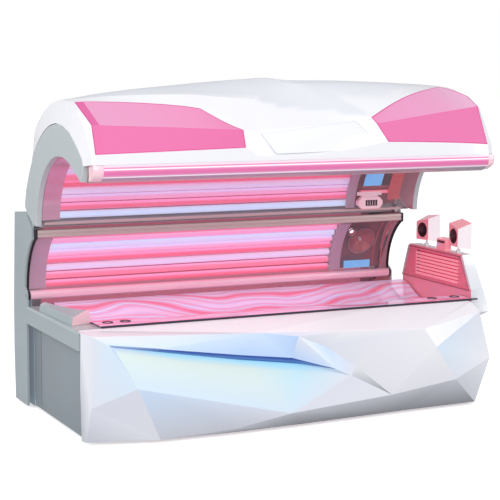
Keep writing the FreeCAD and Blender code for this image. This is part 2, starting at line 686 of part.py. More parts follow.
CANOPY_COLUMNS = [
    [(14, -118, 1361), (14, -117, 1409), (16, -18, 1535), (14, 150, 1632), (14, 225, 1647),
     (14, 335, 1648), (14, 500, 1614), (14, 645, 1548), (14, 738, 1470), (14, 767, 1330)],
    [(31, -132, 1361), (31, -127, 1409), (50, -20, 1542), (38, 185, 1643), (45, 250, 1653),
     (60, 345, 1652), (60, 505, 1617), (60, 655, 1552), (60, 745, 1475), (60, 772, 1330)],
    [(215, -132, 1361), (215, -128, 1413), (215, -30, 1535), (215, 160, 1643), (215, 235, 1666),
     (215, 355, 1676), (215, 520, 1640), (215, 670, 1565), (215, 750, 1482), (215, 774, 1330)],
    [(450, -132, 1361), (450, -129, 1418), (450, -44, 1526), (450, 110, 1632), (450, 190, 1674),
     (450, 370, 1701), (450, 540, 1665), (450, 682, 1580), (450, 754, 1488), (450, 775, 1330)],
    [(640, -132, 1361), (640, -130, 1422), (640, -56, 1517), (640, 60, 1610), (640, 165, 1673),
     (640, 390, 1715), (640, 560, 1680), (640, 690, 1590), (640, 757, 1494), (640, 776, 1330)],
    [(800, -132, 1361), (800, -130, 1426), (815, -66, 1509), (830, 10, 1557), (840, 150, 1658),
     (850, 400, 1731), (850, 570, 1692), (850, 697, 1598), (850, 759, 1499), (850, 777, 1330)],
    [(860, -132, 1361), (860, -130, 1386), (893, -62, 1494), (930, 35, 1558), (980, 160, 1648),
     (1040, 400, 1742), (1040, 578, 1702), (1040, 701, 1604), (1040, 760, 1502), (1040, 777, 1330)],
    [(1180, -132, 1361), (1180, -131, 1384), (1190, -61, 1521), (1180, 45, 1571), (1160, 165, 1630),
     (1180, 400, 1747), (1180, 582, 1706), (1180, 703, 1607), (1180, 760, 1503), (1180, 777, 1330)],
    [(1600, -132, 1361), (1593, -130, 1438), (1565, -58, 1527), (1541, -42, 1559),
     (1418, 130, 1650), (1300, 350, 1735), (1300, 575, 1702), (1300, 701, 1605), (1300, 760, 1502),
     (1300, 777, 1330)],
    [(1715, -132, 1361), (1715, -130, 1435), (1715, -42, 1546), (1712, 50, 1621),
     (1690, 120, 1650), (1600, 370, 1733), (1600, 565, 1697), (1600, 698, 1600), (1600, 759, 1500),
     (1600, 776, 1330)],
    [(1870, -132, 1361), (1870, -130, 1430), (1870, -20, 1564), (1869, 120, 1667),
     (1868, 220, 1694), (1860, 390, 1724), (1860, 555, 1688), (1860, 692, 1592), (1860, 757, 1496),
     (1860, 775, 1330)],
    [(2040, -132, 1361), (2040, -129, 1423), (2050, 4, 1585), (2029, 190, 1694), (2033, 295, 1708),
     (2040, 400, 1714), (2040, 545, 1678), (2040, 686, 1582), (2040, 755, 1491), (2040, 774, 1330)],
    [(2150, -130, 1361), (2150, -125, 1416), (2160, 18, 1597), (2145, 235, 1698), (2150, 325, 1705),
     (2150, 405, 1705), (2150, 535, 1668), (2150, 680, 1574), (2150, 752, 1487), (2150, 773, 1330)],
    [(2205, -122, 1361), (2203, -112, 1412), (2230, 30, 1606), (2222, 118, 1655), (2215, 250, 1688),
     (2215, 360, 1694), (2215, 520, 1655), (2215, 668, 1562), (2215, 748, 1480), (2215, 771, 1330)],
    [(2252, -84, 1361), (2254, -72, 1412), (2261, 58, 1594), (2261, 150, 1636), (2261, 240, 1655),
     (2261, 345, 1660), (2261, 505, 1622), (2261, 648, 1548), (2261, 738, 1470), (2261, 767, 1330)],
]
LENS_CORNER = (5, 2)
LENS_CELLS = ((range(2, 6), range(1, 2)), (range(2, 5), range(2, 3)), (range(9, 14), range(1, 3)))


CANOPY_WALL = 5.0


def canopy_skin(keep):
    """The outer skin of the canopy over the triangles that keep picks."""
    grid = [end_rim(CANOPY_X[0])] + CANOPY_COLUMNS + [end_rim(CANOPY_X[1])]
    points = {(c, r): vec(*corner) for c, column in enumerate(grid) for r, corner in enumerate(column)}
    triangles = []
    for c in range(len(grid) - 1):
        for r in range(len(grid[0]) - 1):
            ring = [(c, r), (c + 1, r), (c + 1, r + 1), (c, r + 1)]
            turn = 1 if (c, r) == LENS_CORNER else 0
            triangles += ring_triangles(ring[turn:] + ring[:turn])
    return skin(points, triangles, CANOPY_WALL, keep)


def is_lens(item):
    """Whether a triangle of the skin belongs to one of the two lenses."""
    column = min(key[0] for key in item)
    row = min(key[1] for key in item)
    if (column, row) == LENS_CORNER:
        return (column, row) in item
    return any(column in columns and row in rows for columns, rows in LENS_CELLS)


def canopy_shell():
    """White outer skin of the canopy, open where the two coloured lenses sit."""
    return canopy_skin(lambda item: not is_lens(item))


def canopy_lenses():
    """The two translucent lenses, set flush in the skin."""
    return group([canopy_skin(lambda item: is_lens(item) and item[0][0] < 7),
                  canopy_skin(lambda item: is_lens(item) and item[0][0] > 7)])


def canopy_end_panels():
    """Arch-shaped end plates: outer edge inside the skin's rim, inner edge on the arch."""
    rise = [(y * 0.99 + 3.6, z - 3) for y, z in END_OUTLINE]
    outline = [(-18, 1274)] + rise + [(803, 1257), (857, 1165), (884, 1078), (850, 1047), (741, 993),
                                      (690, 990)]
    panels = []
    for x0 in (CANOPY_X[0] + 1, CANOPY_X[1] - 1 - END_PANEL):
        x1 = x0 + END_PANEL
        plate = prism(outline, x0, x1)
        arch = rod_x(ARCH_CENTRE, ARCH_R + 4, x0 - 1, x1 + 1)
        lip = CANOPY_PATH.sheet(-60, 4, x0 - 1, x1 + 1, CANOPY_PATH.length - ARCH_LIP - 1)
        low = box((x0 - 1, x1 + 1), (-60, 686), (900, 985))
        panels.append(plate.cut(arch).cut(lip).cut(low))
    return group(panels)


def canopy_back_cover():
    """Rear and underside sheet of the canopy, slotted for the hinge arms."""
    outer = [(775, 1328.5), (806, 1258), (860, 1165), (888, 1077), (853, 1045), (742, 990)]
    inner = [(739, 994), (850, 1049), (883, 1079), (856, 1163), (802, 1257), (771, 1328.5)]
    sheet = prism(outer + inner, CANOPY_X[0] + 32, CANOPY_X[1] - 32)
    for span in ((14.0, 60.0), mirrored((14.0, 60.0))):
        sheet = sheet.cut(box(span, (730, 850), (970, 1048)))
    return sheet


CROSSBAR_R = 14.0
CROSSBAR_RADIUS = 484.0
CROSSBAR_ANGLES = (32.0, 68.0, 104.0)


def canopy_frame():
    """Curved steel arms with knuckle and spring lever, joined by three cross tubes."""
    pieces = []
    lever = polar(HINGE, LEVER_LENGTH, LEVER_ANGLE)
    tubes = [rod_x(polar(ARCH_CENTRE, CROSSBAR_RADIUS, angle), CROSSBAR_R, 31, 2244)
             for angle in CROSSBAR_ANGLES]
    for at_foot in (True, False):
        curve = sector(ARCH_CENTRE, 462, 504, 3, 112, *ARM_X)
        root = prism([(736, 985), (738, 1010), (762, 1020), (805, 1012), (800, 990), (764, 985)], *ARM_X)
        knuckle = rod_x(HINGE, KNUCKLE_R, *ARM_X)
        link = prism([(748, 972), (752, 998), (800, 990), (816, 971), (800, 952)], *ARM_X)
        tip = rod_x(lever, 13, *ARM_X)
        pin = rod_x(lever, 6, SPRING_X - SPRING_EYE_HALF - 1, ARM_X[0])
        arm = fuse([curve, root, knuckle, link, tip, pin])
        arm = arm.cut(rod_x(HINGE, HINGE_PIN_R + RUNNING_FIT, ARM_X[0] - 1, ARM_X[1] + 1))
        pieces.append(place(arm, at_foot))
    return fuse(pieces + tubes)


def canopy_acrylic():
    return CANOPY_PATH.sheet(0, SHEET, 32, 2243)


def canopy_reflector():
    """Polished sheet over the canopy tubes, with the plain end cover at the foot end."""
    back = CANOPY_PATH.sheet(60, 62, SIDE_LAMP_X[0] - HOLDER, SIDE_LAMP_X[1] + HOLDER, 8, 880)
    cover = CANOPY_PATH.sheet(10, 12, END_PANEL + 3, 129, 8, 880)
    return group([back, cover])


def canopy_lamps(red):
    runs = [run for k, run in enumerate(CANOPY_RUNS) if (k in CANOPY_RED) == red]
    return group(lamp_row(CANOPY_PATH, CANOPY_LAMP_OFFSET, runs, SIDE_LAMP_X))


def canopy_lamp_holders():
    return group([CANOPY_PATH.sheet(12, 60, x, x + HOLDER, 8, 880)
                  for x in (SIDE_LAMP_X[0] - HOLDER, SIDE_LAMP_X[1])])


def canopy_rails():
    """Aluminium rails that hold the front and rear edges of the canopy sheet."""
    rear = prism([(684, 1008), (688, 995), (732, 994), (738, 1004), (716, 1009), (692, 1011)], 46, 2165)
    tip = [CANOPY_PATH.at(CANOPY_PATH.length, offset) for offset in (-4, 10)]
    front = prism(tip + [(-40, 1345), (-60, 1345), (-60, 1283)], 32, 2243)
    return group([rear, front])


def light_strip_lens():
    """Long tinted lamp cover under the canopy's front edge, with plain end blocks."""
    outline = [(-61, 1356), (-128, 1356), (-130, 1330), (-116, 1300), (-80, 1281), (-61, 1281)]
    middle = prism(outline, 72, 2200)
    ends = [prism(outline, 20, 71.5),
            prism([(-61, 1356), (-112, 1356), (-112, 1330), (-102, 1304), (-78, 1287), (-61, 1287)],
                  2200.5, 2242)]
    return group([middle] + ends)


def face_tanner():
    """Mullion, burner reflectors and back plate at the head end of the canopy."""
    mullion = CANOPY_PATH.sheet(7, 12, 1842, 1898, 4, 880)
    back = CANOPY_PATH.sheet(60, 62, 1860, 2160, 8, 880)
    dishes = [dish(CANOPY_PATH, run, 2040, 66, 42) for run in (150.0, 330.0, 510.0)]
    return group([mullion, back] + dishes)


PANEL_X = (1865.0, 2019.0)
KEY_X = [1916.0 + 15.5 * k for k in range(5)]
KEY_HALF = (6.0, 16.0)
PANEL_FRONT = 646.0
PANEL_MID_Z = 1044.0
KEY_AXIS_Y = 652.0


def control_panel():
    """Oblong user panel on the canopy's rear edge, with a pocket for each rocker key."""
    y0, z0 = CANOPY_PATH.at(26, -0.5)
    y1, z1 = CANOPY_PATH.at(96, -0.5)
    body = prism([(y0, z0), (y1, z1), (PANEL_FRONT + 8, 1080), (PANEL_FRONT, 1074),
                  (PANEL_FRONT, 1014), (PANEL_FRONT + 8, 1008)], *PANEL_X)
    for x, sign in ((PANEL_X[0], 1), (PANEL_X[1], -1)):
        for z, up in ((1085, -1), (1004, 1)):
            corner = [(x - sign, z - up), (x + sign * 30, z - up), (x - sign, z + up * 30)]
            body = body.cut(long_prism(corner, 600, 700))
    for x in KEY_X:
        pocket = box((x - KEY_HALF[0] - 0.6, x + KEY_HALF[0] + 0.6), (PANEL_FRONT - 1, KEY_AXIS_Y + 7),
                     (PANEL_MID_Z - KEY_HALF[1] - 1, PANEL_MID_Z + KEY_HALF[1] + 1))
        body = body.cut(pocket)
    return body


def key(index):
    """One two-way rocker key."""
    x = KEY_X[index]
    outline = [(PANEL_FRONT + 1.5, PANEL_MID_Z), (PANEL_FRONT - 1.5, PANEL_MID_Z + KEY_HALF[1] - 1),
               (PANEL_FRONT + 1.0, PANEL_MID_Z + KEY_HALF[1]),
               (KEY_AXIS_Y + 1.0, PANEL_MID_Z + KEY_HALF[1]),
               (KEY_AXIS_Y + 4.5, PANEL_MID_Z), (KEY_AXIS_Y + 1.0, PANEL_MID_Z - KEY_HALF[1]),
               (PANEL_FRONT + 1.0, PANEL_MID_Z - KEY_HALF[1]),
               (PANEL_FRONT - 1.5, PANEL_MID_Z - KEY_HALF[1] + 1)]
    return prism(outline, x - KEY_HALF[0], x + KEY_HALF[0])


# ---------------------------------------------------------------- gas springs

def spring_axis():
    """Foot point, rod-end point, unit direction and length of the spring, in (y, z)."""
    end = polar(HINGE, LEVER_LENGTH, LEVER_ANGLE)
    dy = end[0] - SPRING_FOOT[0]
    dz = end[1] - SPRING_FOOT[1]
    length = math.hypot(dy, dz)
    return end, vec(0, dy / length, dz / length), length


def spring_point(run):
    _, direction, _ = spring_axis()
    return vec(SPRING_X, SPRING_FOOT[0], SPRING_FOOT[1]) + direction * run


SPRING_TUBE_RUN = (14.0, 300.0)
SPRING_ROD_RUN = 230.0


def gas_cylinder(at_foot):
    """Spring tube with its lower eye, bored for the rod."""
    _, direction, _ = spring_axis()
    eye = rod_x(SPRING_FOOT, 14, SPRING_X - SPRING_EYE_HALF, SPRING_X + SPRING_EYE_HALF)
    tube = Part.makeCylinder(SPRING_TUBE_R, SPRING_TUBE_RUN[1] - 8, spring_point(8), direction)
    body = fuse([eye, tube])
    body = body.cut(rod_x(SPRING_FOOT, 7.0 + RUNNING_FIT, 0, 60))
    bore = Part.makeCylinder(SPRING_ROD_R + RUNNING_FIT, 200, spring_point(SPRING_ROD_RUN - 12), direction)
    return place(body.cut(bore), at_foot)


def gas_rod(at_foot):
    """Spring rod with its upper eye, oversize for the lever's swing."""
    end, direction, length = spring_axis()
    eye_hole = 6.0 + OPEN_PIVOT_PLAY
    eye = rod_x(end, eye_hole + 5, SPRING_X - SPRING_EYE_HALF, SPRING_X + SPRING_EYE_HALF)
    rod = Part.makeCylinder(SPRING_ROD_R, length - SPRING_ROD_RUN - eye_hole - 1,
                            spring_point(SPRING_ROD_RUN), direction)
    body = fuse([eye, rod]).cut(rod_x(end, eye_hole, 0, 60))
    return place(body, at_foot)


# ---------------------------------------------------------------- fans

def fan_rotor(centre, axis, radius, hub_r, depth, shaft_r, blades):
    """Bladed rotor about an axis: bored hub and pitched blades."""
    hub = Part.makeCylinder(hub_r, depth, centre, axis)
    across = vec(0, 0, 1)
    blade_set = []
    for k in range(blades):
        side = axis.cross(across)
        plate = Part.makeBox(radius - hub_r + 2, 3, depth * 1.1)
        plate.translate(vec(hub_r - 2, -1.5, -depth * 0.55))
        plate.rotate(vec(0, 0, 0), vec(1, 0, 0), 38)
        matrix = FreeCAD.Matrix(across.x, side.x, axis.x, 0, across.y, side.y, axis.y, 0,
                                across.z, side.z, axis.z, 0, 0, 0, 0, 1)
        plate = plate.transformGeometry(matrix)
        plate.rotate(vec(0, 0, 0), axis, 360.0 / blades * k)
        plate.translate(centre + axis * (depth / 2))
        blade_set.append(plate)
    body = fuse([hub] + blade_set)
    return body.cut(Part.makeCylinder(shaft_r + RUNNING_FIT, depth * 3, centre - axis * depth, axis))


EXHAUST_Y = 1046.0
EXHAUST_R = 92.0


def exhaust_fan(index):
    return fan_rotor(vec(FAN_X[index], EXHAUST_Y, FAN_Z), vec(0, 1, 0), EXHAUST_R, 28, 22, 5, 5)


def fan_housings():
    """Square fan frames on the rear cover, with motor, spokes and shaft."""
    frames = []
    for x in FAN_X:
        y0, y1 = EXHAUST_Y - 8, 1104.0
        half = EXHAUST_R + 13
        frame = box((x - half, x + half), (y0, y1), (FAN_Z - half, FAN_Z + half))
        frame = frame.cut(Part.makeCylinder(EXHAUST_R + 6, 90, vec(x, y0 - 10, FAN_Z), vec(0, 1, 0)))
        spokes = [box((x - half, x + half), (y0 - 8, y0 - 1), (FAN_Z - 6, FAN_Z + 6)),
                  box((x - 6, x + 6), (y0 - 8, y0 - 1), (FAN_Z - half, FAN_Z + half)),
                  box((x - half, x - half + 8), (y0 - 8, y0), (FAN_Z - half, FAN_Z + half)),
                  box((x + half - 8, x + half), (y0 - 8, y0), (FAN_Z - half, FAN_Z + half)),
                  box((x - half, x + half), (y0 - 8, y0), (FAN_Z - half, FAN_Z - half + 8)),
                  box((x - half, x + half), (y0 - 8, y0), (FAN_Z + half - 8, FAN_Z + half))]
        motor = Part.makeCylinder(26, 26, vec(x, y0 - 27, FAN_Z), vec(0, 1, 0))
        shaft = Part.makeCylinder(5, 30, vec(x, y0 - 3, FAN_Z), vec(0, 1, 0))
        frames.append(fuse([frame] + spokes + [motor, shaft]))
    beyond = prism([(1085, FOOT_HEIGHT), (1100, 300), (1097, 560), (1200, 560), (1200, FOOT_HEIGHT)], 0, 2300)
    return group([frame.cut(beyond) for frame in frames])


def console_fan():
    y, z = FAN_CENTRE
    return fan_rotor(vec(2316, y, z), vec(1, 0, 0), FAN_R, 20, 16, 4, 7)


# ---------------------------------------------------------------- head console

# Height, then the plan corners: inner front, outer front, outer rear and inner rear.
CONSOLE_SECTIONS = (
    (444.0, (2300, 160), (2380, 186), (2380, 850), (2300, 856)),
    (466.0, (2294, 146), (2445, 185), (2445, 850), (2294, 862)),
    (600.0, (2294, 146), (2408, 206), (2408, 846), (2294, 868)),
    (CONSOLE_TOP_Z, (2294, 243), (2362, 250), (2362, 790), (2294, 800)),
)


def console_loft(inset, low, high):
    """Closed body of the console, every side moved in by an inset."""
    rings = []
    for k, (z, *plan) in enumerate(CONSOLE_SECTIONS):
        if k == 0:
            z = z + low
        if k == len(CONSOLE_SECTIONS) - 1:
            z = z - high
        corners = [vec(x + inset * along, y + inset * across, z)
                   for (x, y), (along, across) in zip(plan, ((1, 1), (-1, 1), (-1, -1), (1, -1)))]
        rings.append(Part.makePolygon(corners + corners[:1]))
    return Part.makeLoft(rings, True, True)


def console_seam():
    """Wedge outside the sloping seam between the console body and its outer cap."""
    return long_prism([(2355, 800), (2353, 497), (2350, 400), (2500, 400), (2500, 800)], 100, 900)


def vent_outline(grow):
    """Opening of the console's inner face, as (y, z)."""
    return [(166 - grow, 602 - grow), (850 + grow, 602 - grow), (786 + grow, 766 + grow),
            (256 - grow, 766 + grow)]


def console_hollow():
    return console_loft(0, 0, 0).cut(console_loft(CONSOLE_WALL, CONSOLE_WALL, CONSOLE_WALL))


def console_shell():
    """Inner half of the console with its vent opening and the two speaker posts."""
    shell = console_hollow().cut(console_seam())
    shell = shell.cut(prism(vent_outline(0), 2290, 2300))
    posts = []
    for centre in SPEAKER_CENTRES:
        posts.append(Part.makeCylinder(13, 14, vec(centre[0], centre[1], CONSOLE_TOP_Z), vec(0, 0, 1)))
        posts.append(Part.makeCylinder(SPIGOT_R, 34, vec(centre[0], centre[1], CONSOLE_TOP_Z), vec(0, 0, 1)))
    return fuse([shell] + posts)


def console_cap():
    """Sloping outer cover of the console."""
    return console_hollow().common(console_seam())


def console_vent_panel():
    """Front plate of the console with the louvre window, fan spider and shaft."""
    y, z = FAN_CENTRE
    plate = prism(vent_outline(-0.5), 2294, 2298)
    plate = plate.cut(prism(LOUVRE_WINDOW, 2290, 2302))
    spider = [box((2298, 2304), (262, 726), (z - 5, z + 5)), box((2298, 2304), (y - 5, y + 5), (608, 758))]
    shaft = Part.makeCylinder(4, 34, vec(2300, y, z), vec(1, 0, 0))
    return fuse([plate] + spider + [shaft])


LOUVRE_WINDOW = [(268, 612), (718, 612), (718, 754), (268, 754)]


def console_louvres():
    """Tilted slats in the louvre window."""
    slats = []
    for k in range(7):
        z = 615.0 + k * 19.6
        slats.append(long_prism([(2289, z), (2291.5, z), (2297.5, z + 16), (2295, z + 16)], 268.5, 717.5))
    return group(slats)


def console_cover_plate():
    """Clear cover over the vent face, held by four corner screws."""
    plate = prism([(150, 592), (862, 592), (796, 772), (248, 772)], 2284.5, 2287.5)
    plate = plate.cut(prism(LOUVRE_WINDOW, 2280, 2290))
    posts = [Part.makeCylinder(5, 8.5, vec(2285.5, y, z), vec(1, 0, 0))
             for y, z in ((190, 618), (830, 618), (774, 748), (262, 762))]
    return fuse([plate] + posts)


def audio_socket_box():
    """Small jack box between the speakers: four sockets and an indicator window."""
    body = long_prism([(2299, CONSOLE_TOP_Z), (2303, CONSOLE_TOP_Z + 62), (2340, CONSOLE_TOP_Z + 70),
                       (2340, CONSOLE_TOP_Z)], 426, 516)
    for k in range(4):
        y = 442.0 + k * 19.0
        body = body.cut(Part.makeCylinder(5.5, 14, vec(2294, y, CONSOLE_TOP_Z + 47), vec(1, 0, 0)))
    return body.cut(box((2296, 2303), (488, 506), (CONSOLE_TOP_Z + 24, CONSOLE_TOP_Z + 34)))


# Swivel axis x and y, toe-in, and which way the inner side lies.
SPEAKER_CENTRES = ((2340.0, 684.0, 6.0, -1), (2340.0, 350.0, -6.0, 1))
# Corners of a cabinet: depth from the axis, side, and bottom and top over its base.
SPEAKER_CORNERS = (
    (-34.0, -54.0, 14.0, 116.0), (-34.0, 54.0, 17.0, 140.0),
    (50.0, 60.0, 2.0, 162.0), (50.0, -58.0, 0.0, 148.0),
)
SPEAKER_LIFT = 10.0
SPIGOT_R = 5.0


def speaker(index):
    """Wedge-shaped loudspeaker cabinet with a driver recess, toed in on its pivot post."""
    x, y, toe, inward = SPEAKER_CENTRES[index]
    sides = [[(dx, dy * inward, z) for dx, dy, *z in (SPEAKER_CORNERS[a], SPEAKER_CORNERS[b])]
             for a, b in ((0, 1), (3, 2))]
    rings = []
    for (x0, y0, (low0, top0)), (x1, y1, (low1, top1)) in sides:
        ring = [vec(x0, y0, low0), vec(x1, y1, low1), vec(x1, y1, top1), vec(x0, y0, top0)]
        rings.append(Part.makePolygon(ring + ring[:1]))
    cabinet = Part.makeLoft(rings, True, True)
    driver = Part.makeCone(42, 16, 22, vec(-34.01, 0, 72), vec(1, 0, 0))
    dust_cap = Part.makeCylinder(12, 9, vec(-34 + 15, 0, 72), vec(1, 0, 0))
    socket = Part.makeCylinder(SPIGOT_R + RUNNING_FIT, 27, vec(0, 0, -1), vec(0, 0, 1))
    body = cabinet.cut(driver).fuse(dust_cap).cut(socket).removeSplitter()
    body.rotate(vec(0, 0, 0), vec(0, 0, 1), toe)
    body.translate(vec(x, y, CONSOLE_TOP_Z + SPEAKER_LIFT))
    return body


NODES = {
    "floor_tray": floor_tray,
    "levelling_feet": levelling_feet,
    "end_frames": end_frames,
    "ballast_units": ballast_units,
    "rear_posts": rear_posts,
    "front_panel": front_panel,
    "front_slot_lens": front_slot_lens,
    "foot_side_rail": foot_side_rail,
    "foot_side_panel": foot_side_panel,
    "head_side_panel": head_side_panel,
    "foot_end_cover": foot_end_cover,
    "rear_cheeks": rear_cheeks,
    "rear_cover": rear_cover,
    "fan_housings": fan_housings,
    "side_reflector": side_reflector,
    "shoulder_tanner": shoulder_tanner,
    "bench_reflector": bench_reflector,
    "base_lamps_red": lambda: base_lamps(True),
    "base_lamps_blue": lambda: base_lamps(False),
    "base_lamp_holders": base_lamp_holders,
    "console_shell": console_shell,
    "console_cap": console_cap,
    "console_vent_panel": console_vent_panel,
    "console_louvres": console_louvres,
    "console_cover_plate": console_cover_plate,
    "audio_socket_box": audio_socket_box,
    "side_acrylic": side_acrylic,
    "side_top_rail": side_top_rail,
    "side_bottom_rail": side_bottom_rail,
    "side_gaskets": side_gaskets,
    "bench_acrylic": bench_acrylic,
    "bench_sheet_grips": bench_sheet_grips,
    "canopy_shell": canopy_shell,
    "canopy_lenses": canopy_lenses,
    "canopy_end_panels": canopy_end_panels,
    "canopy_back_cover": canopy_back_cover,
    "canopy_frame": canopy_frame,
    "canopy_acrylic": canopy_acrylic,
    "canopy_reflector": canopy_reflector,
    "canopy_lamps_red": lambda: canopy_lamps(True),
    "canopy_lamps_blue": lambda: canopy_lamps(False),
    "canopy_lamp_holders": canopy_lamp_holders,
    "canopy_rails": canopy_rails,
    "light_strip": light_strip_lens,
    "face_tanner": face_tanner,
    "control_panel": control_panel,
    "gas_cylinder_foot": lambda: gas_cylinder(True),
    "gas_cylinder_head": lambda: gas_cylinder(False),
    "gas_rod_foot": lambda: gas_rod(True),
    "gas_rod_head": lambda: gas_rod(False),
    "exhaust_fan_foot": lambda: exhaust_fan(0),
    "exhaust_fan_head": lambda: exhaust_fan(1),
    "console_fan": console_fan,
    "speaker_rear": lambda: speaker(0),
    "speaker_front": lambda: speaker(1),
    "key_1": lambda: key(0),
    "key_2": lambda: key(1),
    "key_3": lambda: key(2),
    "key_4": lambda: key(3),
    "key_5": lambda: key(4),
}

os.makedirs("parts", exist_ok=True)
for node, build in NODES.items():
    shape = build()
    shape.translate(-1 * ROW_ORIGIN)
    if not shape.isValid() or any(solid.Volume <= 0 for solid in shape.Solids) or not shape.Solids:
        print("not a sound solid:", node, shape.isValid(), [round(s.Volume) for s in shape.Solids])
    shape.exportStep(os.path.join("parts", node + ".step"))
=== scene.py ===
"""A clamshell tanning bed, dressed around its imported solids.

Every class below is one sub-assembly of the bed. Sizes are in millimetres in the maker's
axes: X from the foot end to the head end, Y from the front to the rear, Z up. `at` turns
them into metres in the row frame.
"""

import json
import logging
import math
from dataclasses import dataclass
from enum import Enum
from typing import Callable, Iterable, Sequence

import bmesh
import bpy
from mathutils import Matrix, Vector

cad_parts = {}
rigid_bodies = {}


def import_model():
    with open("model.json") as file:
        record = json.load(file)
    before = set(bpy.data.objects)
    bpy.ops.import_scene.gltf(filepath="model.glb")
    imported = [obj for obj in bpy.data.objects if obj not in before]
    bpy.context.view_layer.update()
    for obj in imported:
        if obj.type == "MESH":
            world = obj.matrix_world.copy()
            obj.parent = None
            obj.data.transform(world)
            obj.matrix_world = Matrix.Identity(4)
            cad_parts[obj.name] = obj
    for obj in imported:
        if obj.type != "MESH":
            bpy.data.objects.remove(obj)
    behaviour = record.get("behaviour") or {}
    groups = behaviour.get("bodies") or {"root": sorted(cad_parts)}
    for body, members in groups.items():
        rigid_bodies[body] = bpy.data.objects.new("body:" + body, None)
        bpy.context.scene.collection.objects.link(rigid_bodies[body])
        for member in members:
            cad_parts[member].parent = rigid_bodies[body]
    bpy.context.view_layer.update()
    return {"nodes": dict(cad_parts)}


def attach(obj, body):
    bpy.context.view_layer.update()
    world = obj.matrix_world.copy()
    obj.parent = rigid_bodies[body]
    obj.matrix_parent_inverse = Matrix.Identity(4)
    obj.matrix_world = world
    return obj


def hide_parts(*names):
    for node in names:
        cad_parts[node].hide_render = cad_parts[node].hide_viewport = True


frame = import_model()

log = logging.getLogger("tanning_bed")

MM = 0.001
MM_PER_M = 1000.0
ROW_ORIGIN = Vector((1222.5, 485.5, 0.0))

Point2 = tuple[float, float]
Point3 = tuple[float, float, float]
Tree = bpy.types.NodeTree
Socket = bpy.types.NodeSocket
Mesh = bpy.types.Mesh


class Body(Enum):
    """The rigid bodies that pieces ride on."""

    BASE = "base"
    SIDE = "side_sheet"
    BENCH = "bench_sheet"
    CANOPY = "canopy"
    SPEAKER_REAR = "speaker_rear"
    SPEAKER_FRONT = "speaker_front"


def at(x: float, y: float, z: float) -> Vector:
    """Returns a maker's point, in millimetres, as metres in the row frame."""
    return (Vector((x, y, z)) - ROW_ORIGIN) * MM


def linear(hex_colour: str) -> tuple[float, float, float, float]:
    """Turns an sRGB hex colour into linear values.

    Args:
        hex_colour: Six hex digits with a leading #.

    Returns:
        Linear red, green and blue, and an alpha of 1.
    """
    parts = [int(hex_colour[k : k + 2], 16) / 255 for k in (1, 3, 5)]
    toe, low, high, gamma = 0.04045, 12.92, 1.055, 2.4
    red, green, blue = (p / low if p <= toe else ((p + high - 1) / high) ** gamma for p in parts)
    return red, green, blue, 1.0


# ------------------------------------------------------------------ finishes


def add_node(tree: Tree, kind: str, links: dict | None = None, **settings) -> bpy.types.Node:
    """Adds a node with its settings and its inputs.

    Args:
        tree: The tree that gets the node.
        kind: Blender's node type name.
        links: Input name or index to a value, or to the socket that feeds it.
        **settings: Node properties.

    Returns:
        The new node.
    """
    made = tree.nodes.new(kind)
    for key, value in settings.items():
        setattr(made, key, value)
    for key, value in (links or {}).items():
        if isinstance(value, Socket):
            tree.links.new(value, made.inputs[key])
        else:
            made.inputs[key].default_value = value
    return made


Stops = tuple[tuple[float, str], ...]
TINT_LAYER = "tint"
TONE_LAYER = "tone"


class Tint(Enum):
    """Painted light and shade on mouldings: colours that lamps throw and shades of facets turned from the light, each a
    hex colour and its glow.
    """

    WHITE = ("#f7f6f9", 0.0)
    MIST = ("#e6e9f1", 0.0)
    BLUSH = ("#f9f9f9", 0.0)
    PETAL = ("#f8f5f8", 0.0)
    FROST = ("#d8e9f5", 0.04)
    ICE = ("#cfe3f8", 0.04)
    SKY = ("#b6d0f2", 0.05)
    CYAN = ("#98dcf9", 0.2)
    MINT = ("#e0efe8", 0.05)
    PEBBLE = ("#ebecf0", 0.0)
    SHADE = ("#cfd1d7", 0.0)
    SLATE = ("#939599", 0.0)
    NAVY = ("#2a4fa0", 0.22)
    COBALT = ("#3a66b8", 0.3)
    PEARL = ("#f6dfea", 0.12)
    LINE = ("#fbf3f8", 0.25)
    ROSE = ("#e673ab", 0.14)
    PINK = ("#ee9cc4", 0.12)
    HEATHER = ("#b9a0b3", 0.0)
    CLOUD = ("#e9eaef", 0.0)
    PEARL_GREY = ("#eff0f5", 0.0)


def fill_ramp(made: bpy.types.Node, stops: Stops) -> Socket:
    """Gives a colour ramp its stops and returns its colour."""
    elements = made.color_ramp.elements
    while len(elements) < len(stops):
        elements.new(0.5)
    for element, (place, colour) in zip(elements, stops):
        element.position = place
        element.color = linear(colour)
    return made.outputs[0]


